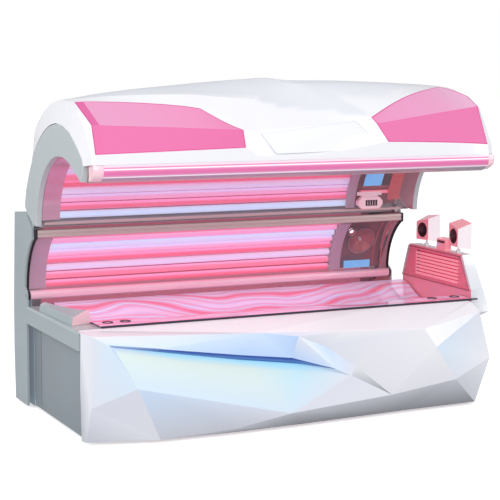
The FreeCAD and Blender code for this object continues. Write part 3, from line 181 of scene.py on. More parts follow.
@dataclass(frozen=True)
class Finish:
    """A real surface: its colour, gloss and grain, and on parts that are no lamp a glow that is painted light.

    What isn't listed is the shader's own setting of that name.

    Attributes:
        name: What the surface is and how it was made.
        colour: Main colour.
        cloud: Colour that the main one drifts towards in broad, faint patches.
        cloud_mm: Size of those patches.
        rough_spread: How far the grain moves the roughness either way.
        grain_mm: Size of the surface grain.
        grain: Strength of the grain's bump.
        stretch: How much longer the grain runs along each axis.
        glow: Colour of its own light, which on parts that are no lamp is painted light.
        power: Strength of that light.
        stops: Colours along the piece's own tone.
        glow_stops: Light along that tone.
        tinted: Whether the piece's own tints, which are painted light and shade, give the colour, and their alpha the
            glow.
        swirl: Colours of bent streaks, which are painted reflections of the tubes.
        swirl_mm: Width of those streaks.
    """

    name: str
    colour: str
    cloud: str = ""
    cloud_mm: float = 300.0
    roughness: float = 0.3
    rough_spread: float = 0.05
    metallic: float = 0.0
    ior: float = 1.5
    coat: float = 0.0
    grain_mm: float = 2.0
    grain: float = 0.03
    stretch: Point3 = (1.0, 1.0, 1.0)
    alpha: float = 1.0
    transmission: float = 0.0
    glow: str = "#ffffff"
    power: float = 0.0
    stops: Stops = ()
    glow_stops: Stops = ()
    tinted: bool = False
    swirl: Stops = ()
    swirl_mm: float = 150.0

    def swirled(self, tree: Tree, place: Socket) -> Socket:
        """Long bent streaks: painted reflections of the tubes above and below a contoured sheet."""
        band_mm = 314.0  # width of one of the texture's bands at a scale of 1
        drawn = add_node(tree, "ShaderNodeMapping", {"Vector": place, "Scale": (0.7, 1.0, 1.0)}).outputs[0]
        bends = {"Distortion": 24.0, "Detail": 3.0, "Detail Scale": 0.42, "Detail Roughness": 0.45}
        wave = add_node(tree, "ShaderNodeTexWave", {"Vector": drawn, "Scale": band_mm / self.swirl_mm} | bends,
                        bands_direction="Y")
        return fill_ramp(add_node(tree, "ShaderNodeValToRGB", {0: wave.outputs["Fac"]}), self.swirl)

    def ramp(self, tree: Tree, stops: Stops) -> Socket:
        """Colours along the piece's own tone."""
        value = add_node(tree, "ShaderNodeAttribute", attribute_name=TONE_LAYER)
        made = add_node(tree, "ShaderNodeValToRGB", {0: value.outputs["Fac"]})
        made.color_ramp.interpolation = "EASE"
        return fill_ramp(made, stops)

    def colours(self, tree: Tree, place: Socket) -> tuple[Socket, Socket | Sequence[float], Socket | float]:
        """Returns the surface's colour, and the colour and strength of its own light."""
        if self.tinted:
            tint = add_node(tree, "ShaderNodeAttribute", attribute_name=TINT_LAYER).outputs
            return tint["Color"], tint["Color"], tint["Alpha"]
        if self.stops:
            return self.ramp(tree, self.stops), self.ramp(tree, self.glow_stops), self.power
        if self.swirl:
            streaks = self.swirled(tree, place)
            return streaks, streaks, self.power
        broad = add_node(tree, "ShaderNodeTexNoise",
                         {"Vector": place, "Scale": MM_PER_M / self.cloud_mm, "Detail": 2.0}).outputs["Fac"]
        mixed = add_node(tree, "ShaderNodeMix",
                         {0: broad, 6: linear(self.colour), 7: linear(self.cloud or self.colour)}, data_type="RGBA")
        return mixed.outputs[2], linear(self.glow), self.power

    def build(self) -> bpy.types.Material:
        """Returns the finish as a material, made once and shared."""
        known = bpy.data.materials.get(self.name)
        if known:
            return known
        material = bpy.data.materials.new(self.name)
        material.use_nodes = True
        tree = material.node_tree
        tree.nodes.clear()
        place = add_node(tree, "ShaderNodeTexCoord").outputs["Object"]
        along = add_node(tree, "ShaderNodeMapping", {"Vector": place, "Scale": [1 / s for s in self.stretch]})
        grain = add_node(tree, "ShaderNodeTexNoise",
                         {"Vector": along.outputs[0], "Scale": MM_PER_M / self.grain_mm, "Detail": 3.0}).outputs["Fac"]
        bump = add_node(tree, "ShaderNodeBump",
                        {"Height": grain, "Strength": self.grain, "Distance": self.grain_mm * MM})
        least, most = max(self.roughness - self.rough_spread, 0.0), self.roughness + self.rough_spread
        rough = add_node(tree, "ShaderNodeMapRange", {"Value": grain, "To Min": least, "To Max": most})
        base, glow, power = self.colours(tree, place)
        shader = add_node(tree, "ShaderNodeBsdfPrincipled", {
            "Base Color": base, "Roughness": rough.outputs[0], "Metallic": self.metallic, "IOR": self.ior,
            "Coat Weight": self.coat, "Coat Roughness": 0.05, "Alpha": self.alpha,
            "Transmission Weight": self.transmission, "Normal": bump.outputs[0], "Emission Color": glow,
            "Emission Strength": power,
        })
        add_node(tree, "ShaderNodeOutputMaterial", {"Surface": shader.outputs[0]})
        return material


def moulded(name: str, colour: str, cloud: str, roughness: float = 0.25, coat: float = 0.5, glow: str = "#ffffff",
            power: float = 0.0, **more) -> Finish:
    """Injection-moulded ABS, dyed or lacquered, whose glow, where given, is painted light of the lamps."""
    return Finish(name, colour, cloud, roughness=roughness, coat=coat, glow=glow, power=power, **more)


# Injection-moulded ABS with a clear lacquer: bright, cool white, mirror-like at a slant.
WHITE_SHELL = moulded("lacquered_white_abs", "#f5f6fa", "#eff0f5", 0.22, 0.4, grain=0.015)
# The same lacquered ABS with painted light and shade at each corner: the tints that the slot, the corner lamps and the
# sheets throw on it, and painted shade where it turns from the light.
WHITE_FRONT = Finish("lit_white_abs", "#f3f5f9", roughness=0.24, coat=0.4, grain=0.015, tinted=True)
# Through-dyed ABS, satin: cool greys of several depths; the blue-grey's glow is painted light, and the blush grey is
# painted with the tubes' light.
GREY_END = moulded("grey_abs", "#cad1d1", "#c1c9ca", 0.28, 0.35, grain=0.02)
GREY_SIDE = moulded("silver_grey_abs", "#b4c0c1", "#a9b5b6", 0.28, 0.3, grain=0.02)
GREY_DEEP = moulded("dark_grey_abs", "#9aa5a9", "#909a9e", 0.3, 0.3, grain=0.02)
# Its glow is painted light that lifts the infill out of the cheek's shadow.
GREY_INFILL = moulded("blue_grey_abs", "#a4b0b8", "#9ca8b0", 0.3, 0.3, "#6c7c84", 0.55, grain=0.02)
# Its pink and glow are painted light of the tubes.
GREY_BLUSH = moulded("blush_grey_abs", "#e4bec8", "#dab2be", 0.26, 0.4, "#703c4c", 0.15, grain=0.02)
# Tinted PMMA over lamps: deep at the cut rim, and paler where it lies flatter and faces the sky, which is painted
# light.
PINK_LENS = Finish(
    "tinted_pmma_lens", "#e76cab", roughness=0.3, coat=0.15, grain=0.01,
    stops=((0.0, "#d42a82"), (0.3, "#e0609e"), (0.45, "#e778ab"), (0.8, "#e99bc2"), (1.0, "#ecbfd8")),
    glow_stops=((0.0, "#a01860"), (0.3, "#a03468"), (0.5, "#a03c6c"), (0.8, "#a05c80"), (1.0, "#a07890")),
    power=0.05,
)
ROSE_STRIP = Finish("rose_pmma_diffuser", "#eda0c0", roughness=0.2, coat=0.5, grain=0.01, tinted=True)
BLUE_GUIDE = Finish("blue_light_guide", "#2a52a8", roughness=0.15, grain=0.01, coat=0.4, tinted=True)
# Phosphor-coated glass, lit: its own light hides most of the gloss.
RED_TUBE = Finish(
    "red_lit_tube", "#f0607c", roughness=0.12, coat=0.8, grain=0.0,
    stops=((0.0, "#d84868"), (0.45, "#e4708e"), (0.75, "#e4a0c4"), (1.0, "#d4c4e4")),
    glow_stops=((0.0, "#e83c62"), (0.45, "#ee7090"), (0.75, "#ea9cc6"), (1.0, "#d6c6e8")), power=0.5,
)
BLUE_TUBE = Finish(
    "blue_lit_tube", "#cdd2ee", roughness=0.12, coat=0.8, grain=0.0,
    stops=((0.0, "#da5878"), (0.3, "#e096c0"), (0.6, "#ccc4e4"), (1.0, "#bcd8f4")),
    glow_stops=((0.0, "#ea4c70"), (0.3, "#ea98c8"), (0.6, "#d0c6e8"), (1.0, "#bcdcf8")), power=0.54,
)
# Spun aluminium: rings round the cap, dulled by its matt turning.
TUBE_CAP = Finish("spun_aluminium_cap", "#c9b6bc", roughness=0.3, metallic=1.0, grain_mm=1.0, stretch=(0.2, 1, 1))
# Rolled bright aluminium behind the tubes: its darker pink is a painted reflection of the tubes, with a faint glow of
# painted light.
MIRROR_SHEET = Finish(
    "rolled_reflector_aluminium", "#b86878", "#a85868", roughness=0.16, metallic=1.0,
    grain_mm=1.5, stretch=(40.0, 1.0, 1.0), grain=0.04, glow="#7c1838", power=0.12,
)
# The same sheet, plain and upright at the tubes' ends: its mauve and glow are a painted reflection of them, greyer on
# the side bank.
COVER_SHEET = Finish(
    "mauve_lit_aluminium", "#d4a4b6", "#c494a8", roughness=0.14, metallic=0.7, grain_mm=1.2,
    stretch=(1.0, 1.0, 30.0), grain=0.03, glow="#8c4c64", power=0.5,
)
SIDE_COVER = Finish(
    "grey_mauve_lit_aluminium", "#c8a8b6", "#b498a8", roughness=0.2, metallic=0.6, grain_mm=1.2,
    stretch=(1.0, 1.0, 30.0), grain=0.03, glow="#705464", power=0.42,
)
# Cast acrylic: almost unseen but for its sheen, and clear through its thickness on the bench.
CLEAR_SHEET = Finish("cast_acrylic", "#f2e6f4", roughness=0.02, rough_spread=0.01, alpha=0.08, ior=1.49, grain=0.0)
BENCH_SHEET = Finish(
    "thick_cast_acrylic", "#f6ecf6", roughness=0.03, rough_spread=0.01, transmission=1.0, ior=1.45, grain=0.0
)
# The same sheet's upper face, with streaks of painted reflections of the tubes and a glow of painted light.
BENCH_FACE = Finish(
    "cast_acrylic_painted_reflections", "#f0c8e0", roughness=0.04, rough_spread=0.01, transmission=0.28, ior=1.45, grain=0.0,
    swirl=((0.0, "#e4809e"), (0.12, "#ecaaca"), (0.3, "#c8bee6"), (0.4, "#f6f2fa"), (0.46, "#b8c8f0"),
           (0.6, "#e6b8d8"), (0.74, "#ee9cbc"), (0.86, "#d6c0e4"), (1.0, "#e8cce6")),
    power=0.26,
)
# The sheet's cut edge, dark because it leads the light along inside.
SHEET_EDGE = Finish("acrylic_cut_edge", "#2a2e3c", roughness=0.15, coat=0.6, grain=0.02, glow="#141822", power=0.2)
# Drawn and anodised aluminium: satin, with fine lines along the draw; its warm tint and glow are painted light of the
# tubes.
HANDLE_RAIL = Finish(
    "anodised_handle_rail", "#d0bcb8", "#c4b0ae", roughness=0.34, metallic=0.3, grain_mm=1.2,
    stretch=(60.0, 1.0, 1.0), grain=0.06, glow="#645050", power=0.36,
)
FOOT_RAIL = Finish(
    "anodised_foot_rail", "#f0ccd6", "#e6bcc8", roughness=0.3, metallic=0.25, grain_mm=1.2,
    stretch=(60.0, 1.0, 1.0), grain=0.06, glow="#905a70", power=0.45,
)
# Black parts: matt EPDM with a faint grain, and smoother moulded ABS.
BLACK_RUBBER = Finish("black_epdm", "#151418", roughness=0.45, grain_mm=1.5, grain=0.06)
BLACK_ABS = Finish("black_abs", "#1a1a20", roughness=0.3, coat=0.2)
# Hidden metalwork: spangled zinc, mirror-like chrome, wet-looking enamel and pebbly powder coat.
PLATED_STEEL = Finish(
    "zinc_plated_steel", "#b4b6b8", "#a8abb0", roughness=0.4, metallic=1.0, grain_mm=6.0, grain=0.04, cloud_mm=40.0
)
CHROME_ROD = Finish("hard_chrome", "#d8d8da", roughness=0.08, metallic=1.0, grain_mm=1.0, grain=0.01)
BLACK_PAINT = Finish("black_enamel", "#18181a", roughness=0.25, coat=0.5, grain=0.03)
WHITE_PAINT = Finish("powder_coat_white", "#e4e6ea", "#dddfe4", roughness=0.45, grain_mm=1.6, grain=0.1)
# The rear cover's powder coat where the tubes light it from within.
REAR_ROSE = Finish(
    "rose_lit_steel", "#d8a0b0", "#c07088", cloud_mm=60.0, roughness=0.4, glow="#c07088", power=0.5,
    stretch=(6.0, 1.0, 1.0),
)
# Nylon: satin and slightly waxy.
HOLDER = Finish("lampholder_nylon", "#cfc6cc", "#c4bcc4", roughness=0.4)
# White ABS with painted pink light of the lamps: salmon on the vent, paler on its slats and rose on the console's
# flanks.
PINK_VENT = moulded("pink_lit_abs", "#f094a8", "#cc8aa4", glow="#c8506c", power=0.5, cloud_mm=160.0)
PINK_SLAT = moulded("pink_lit_slat", "#f8b0bc", "#f4a4b0", 0.3, 0.4, "#e07c8c", 0.42)
CONSOLE_ROSE = moulded("rose_lit_abs", "#ee8c98", "#c490a4", 0.2, 0.6, "#c84c5c", 0.4, cloud_mm=160.0)
CAP_WHITE = moulded("cool_cap_abs", "#f2f3f6", "#eceef1", 0.25, 0.4, grain=0.015)
# The console cap's top, in the same painted pink light.
CAP_ROSE = moulded("blush_cap_abs", "#e0a9a8", "#d89c9e", glow="#803838", power=0.15)
# Needled polyester filter mat: matt, and its deep crimson and glow are painted light of the same lamps.
VENT_SHADOW = Finish("crimson_filter_mat", "#c83454", "#b02c48", roughness=0.7, glow="#a01838", power=0.5)
# Burners and the sheets behind them: rippled filter glass, dimpled reflectors and glowing quartz; the reflectors' and
# backplates' glow is painted light of the burners.
BURNER_BLUE = Finish(
    "blue_filter_glass", "#60b8ea", "#78c8f2", roughness=0.08, coat=0.8, grain_mm=9.0, grain=0.1, cloud_mm=25.0,
    glow="#38a0dc", power=0.5
)
BURNER_RED = Finish(
    "red_lit_reflector", "#b05450", "#6c3034", roughness=0.2, metallic=0.7, grain_mm=14.0, grain=0.25, cloud_mm=30.0,
    glow="#642420", power=0.35,
)
BURNER_BACK = Finish(
    "brown_lit_backplate", "#8c5048", "#643638", roughness=0.2, metallic=0.6, grain_mm=20.0, grain=0.1, cloud_mm=70.0,
    glow="#401420", power=0.3,
)
EMBER_BACK = Finish(
    "ember_lit_backplate", "#cc5a50", "#8c3c4c", roughness=0.22, metallic=0.5, grain_mm=9.0, grain=0.15, cloud_mm=40.0,
    stretch=(1.0, 6.0, 6.0), glow="#a03030", power=0.45,
)
RED_BAR = Finish("rose_lit_bar", "#f08ca0", roughness=0.12, coat=0.8, glow="#e85c78", power=0.5)
BURNER_LAMP = Finish("lit_burner_glass", "#fdf4fa", roughness=0.1, coat=0.8, glow="#fbe8f6", power=1.6)
# Its mauve and glow are painted light of the tubes.
MULLION = Finish(
    "mauve_lit_mullion", "#bca2b0", "#aa8ca0", roughness=0.24, metallic=0.45, glow="#745868", power=0.34
)
# White and grey ABS with painted light of the tubes: blush, rose and salmon.
BLUSH_WHITE = moulded("blush_white_abs", "#f6d6dc", "#f3ccd4", glow="#a87880", power=0.35)
ARCH_LIT = moulded("ember_lit_grey_abs", "#cc9aa2", "#b8848c", 0.25, 0.4, "#8c4854", 0.45)
BLUSH_FACET = moulded("blush_lit_abs", "#f6ccd3", "#f4c2cc", 0.25, 0.4, "#602830", 0.12)
# Speaker lacquer with a faint glow of painted light, and its copy with painted pink light of the tubes on the top and
# front.
SPEAKER_WHITE = moulded("speaker_lacquer", "#faf4f5", "#f8eff1", glow="#f8e4e6", power=0.12)
SPEAKER_BLUSH = moulded("pink_lit_speaker_lacquer", "#f2aab2", "#f09ea8", glow="#d06474", power=0.4)
# Pressed paper, matt, and smoked cast acrylic, clear enough to show what lies behind it; its pink is painted light of
# the lamps.
CONE = Finish("paper_cone", "#4a2026", "#341418", roughness=0.5, grain_mm=2.5, grain=0.2, cloud_mm=20.0)
SMOKE_PLATE = Finish("pink_lit_cover_acrylic", "#f48a98", roughness=0.04, alpha=0.25, ior=1.49, coat=0.3, grain=0.0)
# Lines and small lights: a dark cut edge, a blue indicator and the shadow in a seam.
PLATE_EDGE = Finish("plate_edge_line", "#5a2c48", roughness=0.3)
BLUE_LED = Finish("blue_led", "#78b8e8", roughness=0.2, glow="#58b4ec", power=0.5)
SEAM_GREY = Finish("shadowed_seam", "#c4c7cf", roughness=0.5)


# ------------------------------------------------------------------ building meshes


class Shaper:
    """A mesh being made, in millimetres, with a material slot and tones per face corner."""

    def __init__(self) -> None:
        """Starts with nothing."""
        self.points: list[Point3] = []
        self.faces: list[list[int]] = []
        self.slots: list[int] = []
        self.tones: list[list[float]] = []
        self.tints: list[list[Tint]] = []

    def add(self, points: Sequence[Point3], slot: int = 0, tones: Sequence[float] | None = None,
            tints: Sequence[Tint] | None = None) -> None:
        """Adds one face.

        Args:
            points: Its corners.
            slot: Its material slot.
            tones: The tone at each corner.
            tints: The tint at each corner.
        """
        start = len(self.points)
        self.points.extend(tuple(p) for p in points)
        self.faces.append(list(range(start, start + len(points))))
        self.slots.append(slot)
        self.tones.append(list(tones) if tones else [0.0] * len(points))
        self.tints.append(list(tints) if tints else [Tint.WHITE] * len(points))

    def strip(self, first: Sequence[Point3], second: Sequence[Point3], slot: int = 0) -> None:
        """Joins two rings of as many points with quads."""
        for k in range(len(first)):
            n = (k + 1) % len(first)
            self.add([first[k], first[n], second[n], second[k]], slot)

    def loft(self, rings: Sequence[Sequence[Point3]], slot: int = 0) -> None:
        """Skins a run of rings and closes its ends."""
        for first, second in zip(rings, rings[1:]):
            self.strip(first, second, slot)
        self.add(rings[0][::-1], slot)
        self.add(rings[-1], slot)

    def along_x(self, outline: Sequence[Point2], x0: float, x1: float, slot: int = 0) -> None:
        """Extrudes a (y, z) outline along X."""
        self.loft([[(x, y, z) for y, z in outline] for x in (x0, x1)], slot)

    def block(self, x: Point2, y: Point2, z: Point2, slot: int = 0) -> None:
        """Adds a box from three (low, high) pairs."""
        self.along_x([(y[0], z[0]), (y[1], z[0]), (y[1], z[1]), (y[0], z[1])], x[0], x[1], slot)

    def turned(self, profile: Sequence[Point2], centre: Point3, axis: Point3, slots: Sequence[int] | int = 0,
               steps: int = 32) -> None:
        """Adds a turned form.

        Args:
            profile: (radius, height) points; a radius of 0 closes the form.
            centre: Where height 0 lies.
            axis: Direction of height.
            slots: One slot for each run of the profile, or one for all.
            steps: Sides round the axis.
        """
        turn = Vector((0, 0, 1)).rotation_difference(Vector(axis))
        base = Vector(centre)

        def ring(radius: float, height: float) -> list[Point3]:
            """One ring of the form."""
            points = []
            for k in range(steps):
                a = 2 * math.pi * k / steps
                local = Vector((radius * math.cos(a), radius * math.sin(a), height))
                points.append(tuple(base + turn @ local))
            return points

        for k, ((r0, h0), (r1, h1)) in enumerate(zip(profile, profile[1:])):
            slot = slots if isinstance(slots, int) else slots[k]
            low, high = ring(r0, h0), ring(r1, h1)
            if r0 == 0:
                self.add(high, slot)
            elif r1 == 0:
                self.add(low, slot)
            else:
                self.strip(low, high, slot)

    def moved(self, change: Callable[[Vector], Vector]) -> "Shaper":
        """Passes every point through a change and returns the same shaper."""
        self.points = [tuple(change(Vector(p))) for p in self.points]
        return self

    def mesh(self, name: str, recalc: bool = True) -> Mesh:
        """Makes the mesh in metres in the row frame, with its doubles merged.

        Args:
            name: The mesh's name.
            recalc: Whether its normals are turned outwards.

        Returns:
            The mesh.
        """
        merge = 0.05 * MM
        made = bpy.data.meshes.new(name)
        made.from_pydata([at(*p) for p in self.points], [], self.faces)
        made.polygons.foreach_set("material_index", self.slots)
        tone = made.attributes.new(TONE_LAYER, "FLOAT", "CORNER")
        tone.data.foreach_set("value", [value for face in self.tones for value in face])
        if any(tint is not Tint.WHITE for face in self.tints for tint in face):
            layer = made.attributes.new(TINT_LAYER, "FLOAT_COLOR", "CORNER")
            colours = [(*linear(tint.value[0])[:3], tint.value[1]) for face in self.tints for tint in face]
            layer.data.foreach_set("color", [part for colour in colours for part in colour])
        work = bmesh.new()
        work.from_mesh(made)
        bmesh.ops.remove_doubles(work, verts=work.verts, dist=merge)
        bmesh.ops.dissolve_degenerate(work, edges=work.edges, dist=merge / 2)
        if recalc:
            bmesh.ops.recalc_face_normals(work, faces=work.faces)
        work.to_mesh(made)
        work.free()
        return made


def crown(points: Sequence[Vector], corners: Iterable[int], steps: int) -> list[Vector]:
    """A smooth run through points that turns sharply only at its corners.

    Args:
        points: The points to pass through.
        corners: Indices where the run may kink.
        steps: Pieces between two points.

    Returns:
        The points of the run.
    """
    breaks = set(corners) | {0, len(points) - 1}
    run: list[Vector] = []
    for k in range(len(points) - 1):
        p1, p2 = points[k], points[k + 1]
        p0 = points[k - 1] if k not in breaks else p1 - (p2 - p1)
        p3 = points[k + 2] if k + 1 not in breaks else p2 + (p2 - p1)
        span = (p2 - p1).length
        m1 = (p2 - p0) * (span / max((p2 - p0).length, 1e-6))
        m2 = (p3 - p1) * (span / max((p3 - p1).length, 1e-6))
        for s in range(steps):
            t = s / steps
            run.append(
                p1 * (2 * t**3 - 3 * t**2 + 1) + m1 * (t**3 - 2 * t**2 + t)
                + p2 * (3 * t**2 - 2 * t**3) + m2 * (t**3 - t**2)
            )
    run.append(points[-1])
    return run


@dataclass(frozen=True)
class Track:
    """A (y, z) path of straight runs and tangent arcs; offsets lie to the right of travel.

    Attributes:
        start: Where the path starts.
        heading: Its direction there, in degrees.
        moves: (length, 0) for a straight run, or (radius, turn in degrees) for an arc.
    """

    start: Point2
    heading: float
    moves: tuple[tuple[float, float], ...]

    def pieces(self) -> list[tuple[Point2, float, float, float]]:
        """Returns (start or centre, heading, length, signed radius) for each move."""
        result = []
        y, z = self.start
        heading = self.heading
        for size, turn in self.moves:
            a = math.radians(heading)
            if turn == 0:
                result.append(((y, z), heading, size, 0.0))
                y, z = y + size * math.cos(a), z + size * math.sin(a)
                continue
            side = math.copysign(1.0, turn)
            centre = (y - side * size * math.sin(a), z + side * size * math.cos(a))
            result.append((centre, heading, size * math.radians(abs(turn)), side * size))
            heading += turn
            a = math.radians(heading)
            y, z = centre[0] + side * size * math.sin(a), centre[1] - side * size * math.cos(a)
        return result

    @property
    def length(self) -> float:
        """Whole length of the path."""
        return sum(piece[2] for piece in self.pieces())

    def at(self, run: float, offset: float = 0.0) -> Point2:
        """Point at a run along the path, moved aside by an offset."""
        pieces = self.pieces()
        for base, heading, length, radius in pieces:
            if run <= length or (base, heading, length, radius) == pieces[-1]:
                break
            run -= length
        a = math.radians(heading)
        if radius == 0:
            return (base[0] + run * math.cos(a) + offset * math.sin(a),
                    base[1] + run * math.sin(a) - offset * math.cos(a))
        a += run / radius
        return base[0] + (radius + offset) * math.sin(a), base[1] - (radius + offset) * math.cos(a)

    def line(self, offset: float, start: float, end: float, step: float = 12.0) -> list[Point2]:
        """Points along the path at one offset."""
        count = max(int((end - start) / step), 2)
        return [self.at(start + (end - start) * k / count, offset) for k in range(count + 1)]

    def band(self, near: float, far: float, start: float, end: float, step: float = 12.0) -> list[Point2]:
        """Closed outline of a sheet between two offsets."""
        return self.line(near, start, end, step) + self.line(far, start, end, step)[::-1]


@dataclass(frozen=True)
class Dressing:
    """How a finished mesh becomes a piece.

    Attributes:
        bevel_mm: Width of the rounded edges; 0 leaves them.
        bevel_deg: Edges sharper than this are rounded.
        smooth_deg: Edges blunter than this are shaded smooth.
        wall_mm: Thickness added on the inner side of an open skin.
        segments: Steps of the rounding.
    """

    bevel_mm: float
    bevel_deg: float
    smooth_deg: float
    wall_mm: float = 0.0
    segments: int = 2


def make_piece(name: str, mesh: Mesh | Shaper, body: Body | str, finishes: Sequence[Finish],
               replaces: Sequence[str] = (), dress: Dressing = Dressing(0.0, 30, 40)) -> None:
    """Turns a mesh into a piece of the bed.

    Args:
        name: The piece's name.
        mesh: Its mesh in the row frame, or the shaper that makes it.
        body: The body it rides on.
        finishes: One finish for each material slot.
        replaces: CAD nodes that it stands for.
        dress: Bevel, wall and shading.
    """
    mesh = mesh.mesh(name) if isinstance(mesh, Shaper) else mesh
    for finish in finishes:
        mesh.materials.append(finish.build())
    mesh.shade_smooth()
    mesh.set_sharp_from_angle(angle=math.radians(dress.smooth_deg))
    made = bpy.data.objects.new(name, mesh)
    bpy.context.scene.collection.objects.link(made)
    if dress.wall_mm:
        wall = made.modifiers.new("wall", "SOLIDIFY")
        wall.thickness = dress.wall_mm * MM
        wall.offset = -1.0
        wall.use_even_offset = True
    if dress.bevel_mm:
        edge = made.modifiers.new("edges", "BEVEL")
        edge.width = dress.bevel_mm * MM
        edge.segments = dress.segments
        edge.limit_method = "ANGLE"
        edge.angle_limit = math.radians(dress.bevel_deg)
        edge.harden_normals = True
    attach(made, body.value if isinstance(body, Body) else body)
    if replaces:
        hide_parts(*replaces)
    log.info("piece %s on %s", name, body)


def dress_node(node: str, finish: Finish, lit: Sequence[tuple[Finish, Point3, float]] = ()) -> None:
    """Gives a CAD node that keeps its own shape its finish.

    Args:
        node: The node's name.
        finish: Its finish.
        lit: More finishes with painted light of the tubes, each with the direction that its faces
            look in and the least X where they start, in millimetres.
    """
    facing, smallest = 0.7, 4e-4
    mesh = frame["nodes"][node].data
    mesh.materials.clear()
    mesh.materials.append(finish.build())
    for slot, (shade, way, start) in enumerate(lit, 1):
        mesh.materials.append(shade.build())
        aim, least = Vector(way), at(start, 0.0, 0.0).x
        for face in mesh.polygons:
            if face.normal.dot(aim) > facing and face.area > smallest and face.center.x > least:
                face.material_index = slot
    log.info("node %s in %s", node, finish.name)


# ------------------------------------------------------------------ repeated parts


class GrowTree:
    """Geometry Nodes tree that stands parts on points.

    Attributes:
        name: The tree's name.
        inputs: Names of the inputs after the points, and the kinds of their sockets.
    """

    name = ""
    inputs: dict[str, str] = {}

    def __init__(self) -> None:
        """Builds the tree once."""
        self.tree = bpy.data.node_groups.new(self.name, "GeometryNodeTree")
        sockets = self.tree.interface
        self.ids = {
            label: sockets.new_socket(label, in_out="INPUT", socket_type="NodeSocket" + kind).identifier
            for label, kind in ({"Points": "Geometry"} | self.inputs).items()
        }
        sockets.new_socket("Mesh", in_out="OUTPUT", socket_type="NodeSocketGeometry")
        self.given = add_node(self.tree, "NodeGroupInput").outputs
        parts = self.parts()
        joined = add_node(self.tree, "GeometryNodeJoinGeometry")
        for part in parts:
            self.tree.links.new(part, joined.inputs[0])
        add_node(self.tree, "NodeGroupOutput", {0: joined.outputs[0]})

    def parts(self) -> list[Socket]:
        """Returns the geometry of each part."""
        raise NotImplementedError

    def stood(self, points: Socket, item: Socket, turn: Point3 | Socket, paint: str) -> Socket:
        """The item on the points, turned, made real and given the material of an input."""
        places = {"Points": points, "Instance": item, "Rotation": turn}
        placed = add_node(self.tree, "GeometryNodeInstanceOnPoints", places).outputs[0]
        real = add_node(self.tree, "GeometryNodeRealizeInstances", {0: placed}).outputs[0]
        painted = {"Geometry": real, "Material": self.given[paint]}
        return add_node(self.tree, "GeometryNodeSetMaterial", painted).outputs[0]


class TubeTree(GrowTree):
    """Stands a lit tube with two metal caps and their pins on every point."""

    name = "lamp_tubes"
    inputs = {"Length": "Float", "Radius": "Float", "Cap Length": "Float", "Glass": "Material", "Cap": "Material"}

    def parts(self) -> list[Socket]:
        """The tube, then a cap and its pin at either end, all lying along X."""
        tree, points, length, cap = self.tree, *(self.given[name] for name in ("Points", "Length", "Cap Length"))
        turn = (0.0, math.pi / 2, 0.0)
        reach = add_node(tree, "ShaderNodeMath", {0: length, 1: cap}, operation="SUBTRACT").outputs[0]
        half = add_node(tree, "ShaderNodeMath", {0: reach, 1: 0.5}, operation="MULTIPLY").outputs[0]
        beyond = add_node(tree, "ShaderNodeMath", {0: half, 1: cap}, operation="ADD").outputs[0]
        items = []
        for share, sides, depth in ((1.0, 28, length), (1.04, 28, cap), (0.12, 8, cap)):
            radius = add_node(tree, "ShaderNodeMath", {0: self.given["Radius"], 1: share}, operation="MULTIPLY")
            size = {"Vertices": sides, "Radius": radius.outputs[0], "Depth": depth}
            items.append(add_node(tree, "GeometryNodeMeshCylinder", size).outputs[0])
        parts = [self.stood(points, items[0], turn, "Glass")]
        for sign in (1.0, -1.0):
            for item, place in zip(items[1:], (half, beyond)):
                aside = add_node(tree, "ShaderNodeMath", {0: place, 1: sign}, operation="MULTIPLY").outputs[0]
                shift = add_node(tree, "ShaderNodeCombineXYZ", {"X": aside}).outputs[0]
                moved = add_node(tree, "GeometryNodeSetPosition", {"Geometry": points, "Offset": shift})
                parts.append(self.stood(moved.outputs[0], item, turn, "Cap"))
        return parts


class SlatTree(GrowTree):
    """Stands a tilted slat of a given size on every point."""

    name = "vent_slats"
    inputs = {"Size": "Vector", "Turn": "Vector", "Material": "Material"}

    def parts(self) -> list[Socket]:
        """The slats."""
        item = add_node(self.tree, "GeometryNodeMeshCube", {"Size": self.given["Size"]}).outputs[0]
        return [self.stood(self.given["Points"], item, self.given["Turn"], "Material")]


def grown(name: str, kind: GrowTree, points: Sequence[Point3], tones: Sequence[float],
          values: dict) -> Mesh:
    """Grows a tree's parts on points and returns them as one plain mesh.

    Args:
        name: Name of the mesh.
        kind: The tree.
        points: Where each item stands, in millimetres.
        tones: The tone of each item.
        values: Input name to value.

    Returns:
        The finished mesh.
    """
    seeds = bpy.data.meshes.new(name + "_points")
    seeds.from_pydata([at(*p) for p in points], [], [])
    tone = seeds.attributes.new(TONE_LAYER, "FLOAT", "POINT")
    tone.data.foreach_set("value", list(tones))
    holder = bpy.data.objects.new(name + "_points", seeds)
    bpy.context.scene.collection.objects.link(holder)
    grow = holder.modifiers.new("grow", "NODES")
    grow.node_group = kind.tree
    for key, value in values.items():
        grow[kind.ids[key]] = value
    bpy.context.view_layer.update()
    ready = holder.evaluated_get(bpy.context.evaluated_depsgraph_get())
    made = bpy.data.meshes.new_from_object(ready)
    made.name = name
    holder.modifiers.remove(grow)
    bpy.data.objects.remove(holder)
    return made


def joined(name: str, meshes: Sequence[Mesh]) -> Mesh:
    """Joins meshes whose faces keep their material slots."""
    work = bmesh.new()
    for mesh in meshes:
        work.from_mesh(mesh)
    made = bpy.data.meshes.new(name)
    work.to_mesh(made)
    work.free()
    return made


# ------------------------------------------------------------------ shared section lines

ARCH_CENTRE = (301.0, 985.0)
ARCH_START = 4.0
ARCH_R = 385.0


def polar(centre: Point2, radius: float, degrees: float) -> Point2:
    """(y, z) point at a radius and angle about a centre."""
    a = math.radians(degrees)
    return centre[0] + radius * math.cos(a), centre[1] + radius * math.sin(a)


